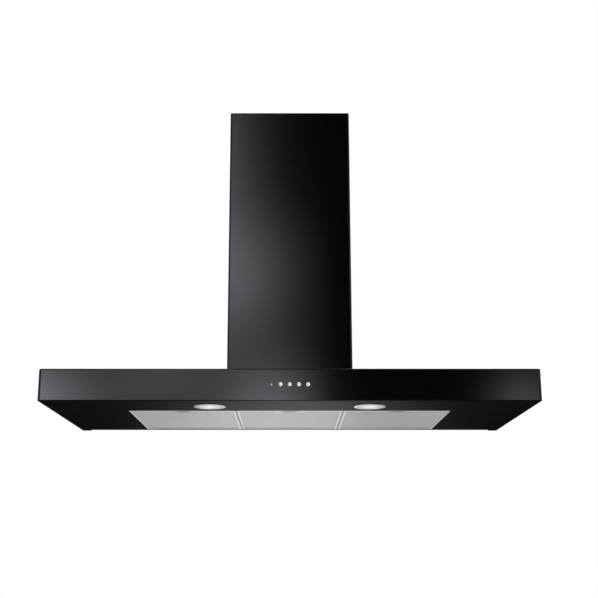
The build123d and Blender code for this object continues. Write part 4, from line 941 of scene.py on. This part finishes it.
def filter_weave(side):
    """Points and faces of the lower, folded and upper sheets of one filter, with no unused points."""
    low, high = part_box(f"filter_mesh_{side}")
    pocket_low, pocket_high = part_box(f"latch_pocket_{side}")
    notch = (pocket_low.x - POCKET_GAP, pocket_high.x + POCKET_GAP, pocket_high.y + POCKET_GAP)
    bottom, top = low.z + SHEET_DROP, high.z - SHEET_DROP
    layers = [
        (FINE_CELL, folded(bottom, bottom)),
        (COARSE_CELL, folded(bottom + 2 * SHEET_DROP, top - 2 * SHEET_DROP)),
        (COARSE_CELL, folded(top, top)),
    ]
    points, faces, count = [], [], 0
    for (cell, pitch), height in layers:
        grid, quads = expanded_sheet(low, high, cell, pitch, height, notch)
        points.append(grid.reshape(-1, 3))
        faces.append(quads + count)
        count += len(points[-1])
    used, compact = np.unique(np.vstack(faces), return_inverse=True)
    return np.vstack(points)[used], compact.reshape(-1, 4)


for side in ("left", "centre", "right"):
    weave = mesh_piece(f"filter_weave_{side}", *filter_weave(side), smooth=False)
    dress(weave, f"filter_{side}", metals["mesh_aluminium"], f"filter_mesh_{side}")

# %% [markdown]
# ## The pieces that stay
#
# Everything else keeps its own shape, and only changes its finish. Each node could be named with its
# finish, but the record already says which material slot it uses, so one table from slot to finish
# dresses them all. Two nodes have a finish of their own: the pan shares the black of the canopy on
# paper, but it is the duller underside, and the canopy's coat has to know where its inside is.

# %% Dress the frame's own nodes
FINISHES = {
    "black_paint": satin_black,
    "galvanised_steel": galvanised,
    "filter_aluminium": metals["filter_aluminium"],
    "filter_mesh": metals["mesh_aluminium"],
    "latch_steel": metals["latch_steel"],
    "bright_metal": metals["bright_aluminium"],
    "lamp_metal": metals["lamp_trim"],
    "lamp_glass": mouldings["bulb_ceramic"],
    "reflector": metals["bright_aluminium"],
    "bulb": mouldings["bulb_ceramic"],
    "indicator": mouldings["light_guide"],
    "black_plastic": mouldings["black_plastic"],
    "grey_plastic": mouldings["grey_plastic"],
    "impeller_plastic": mouldings["impeller_plastic"],
    "circuit_board": circuit_board,
    "motor_steel": mouldings["motor_lacquer"],
    "capacitor_shell": mouldings["capacitor_shell"],
    "shaft_steel": metals["ground_steel"],
    "rubber": mouldings["soft_rubber"],
    "screw_steel": metals["zinc_screws"],
}
OWN_FINISH = {"underside_pan": matt_black, "canopy_shell": canopy_black}
for subpart in frame["record"]["subparts"]:
    node = frame["nodes"][subpart["node"]]
    material = OWN_FINISH.get(subpart["node"], FINISHES[subpart["material_slot"]])
    for place in node.material_slots:
        place.material = material
print("dressed", len(frame["nodes"]), "nodes")

# %% [markdown]
# ## Measure
#
# The dressed hood has to keep the size of the frame. Both boxes are printed.

# %% Print the sizes
boxes = {"cad": cad_box, "visual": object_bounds()}
for name, box in boxes.items():
    print(name, "box", [[round(value, 4) for value in corner] for corner in box])
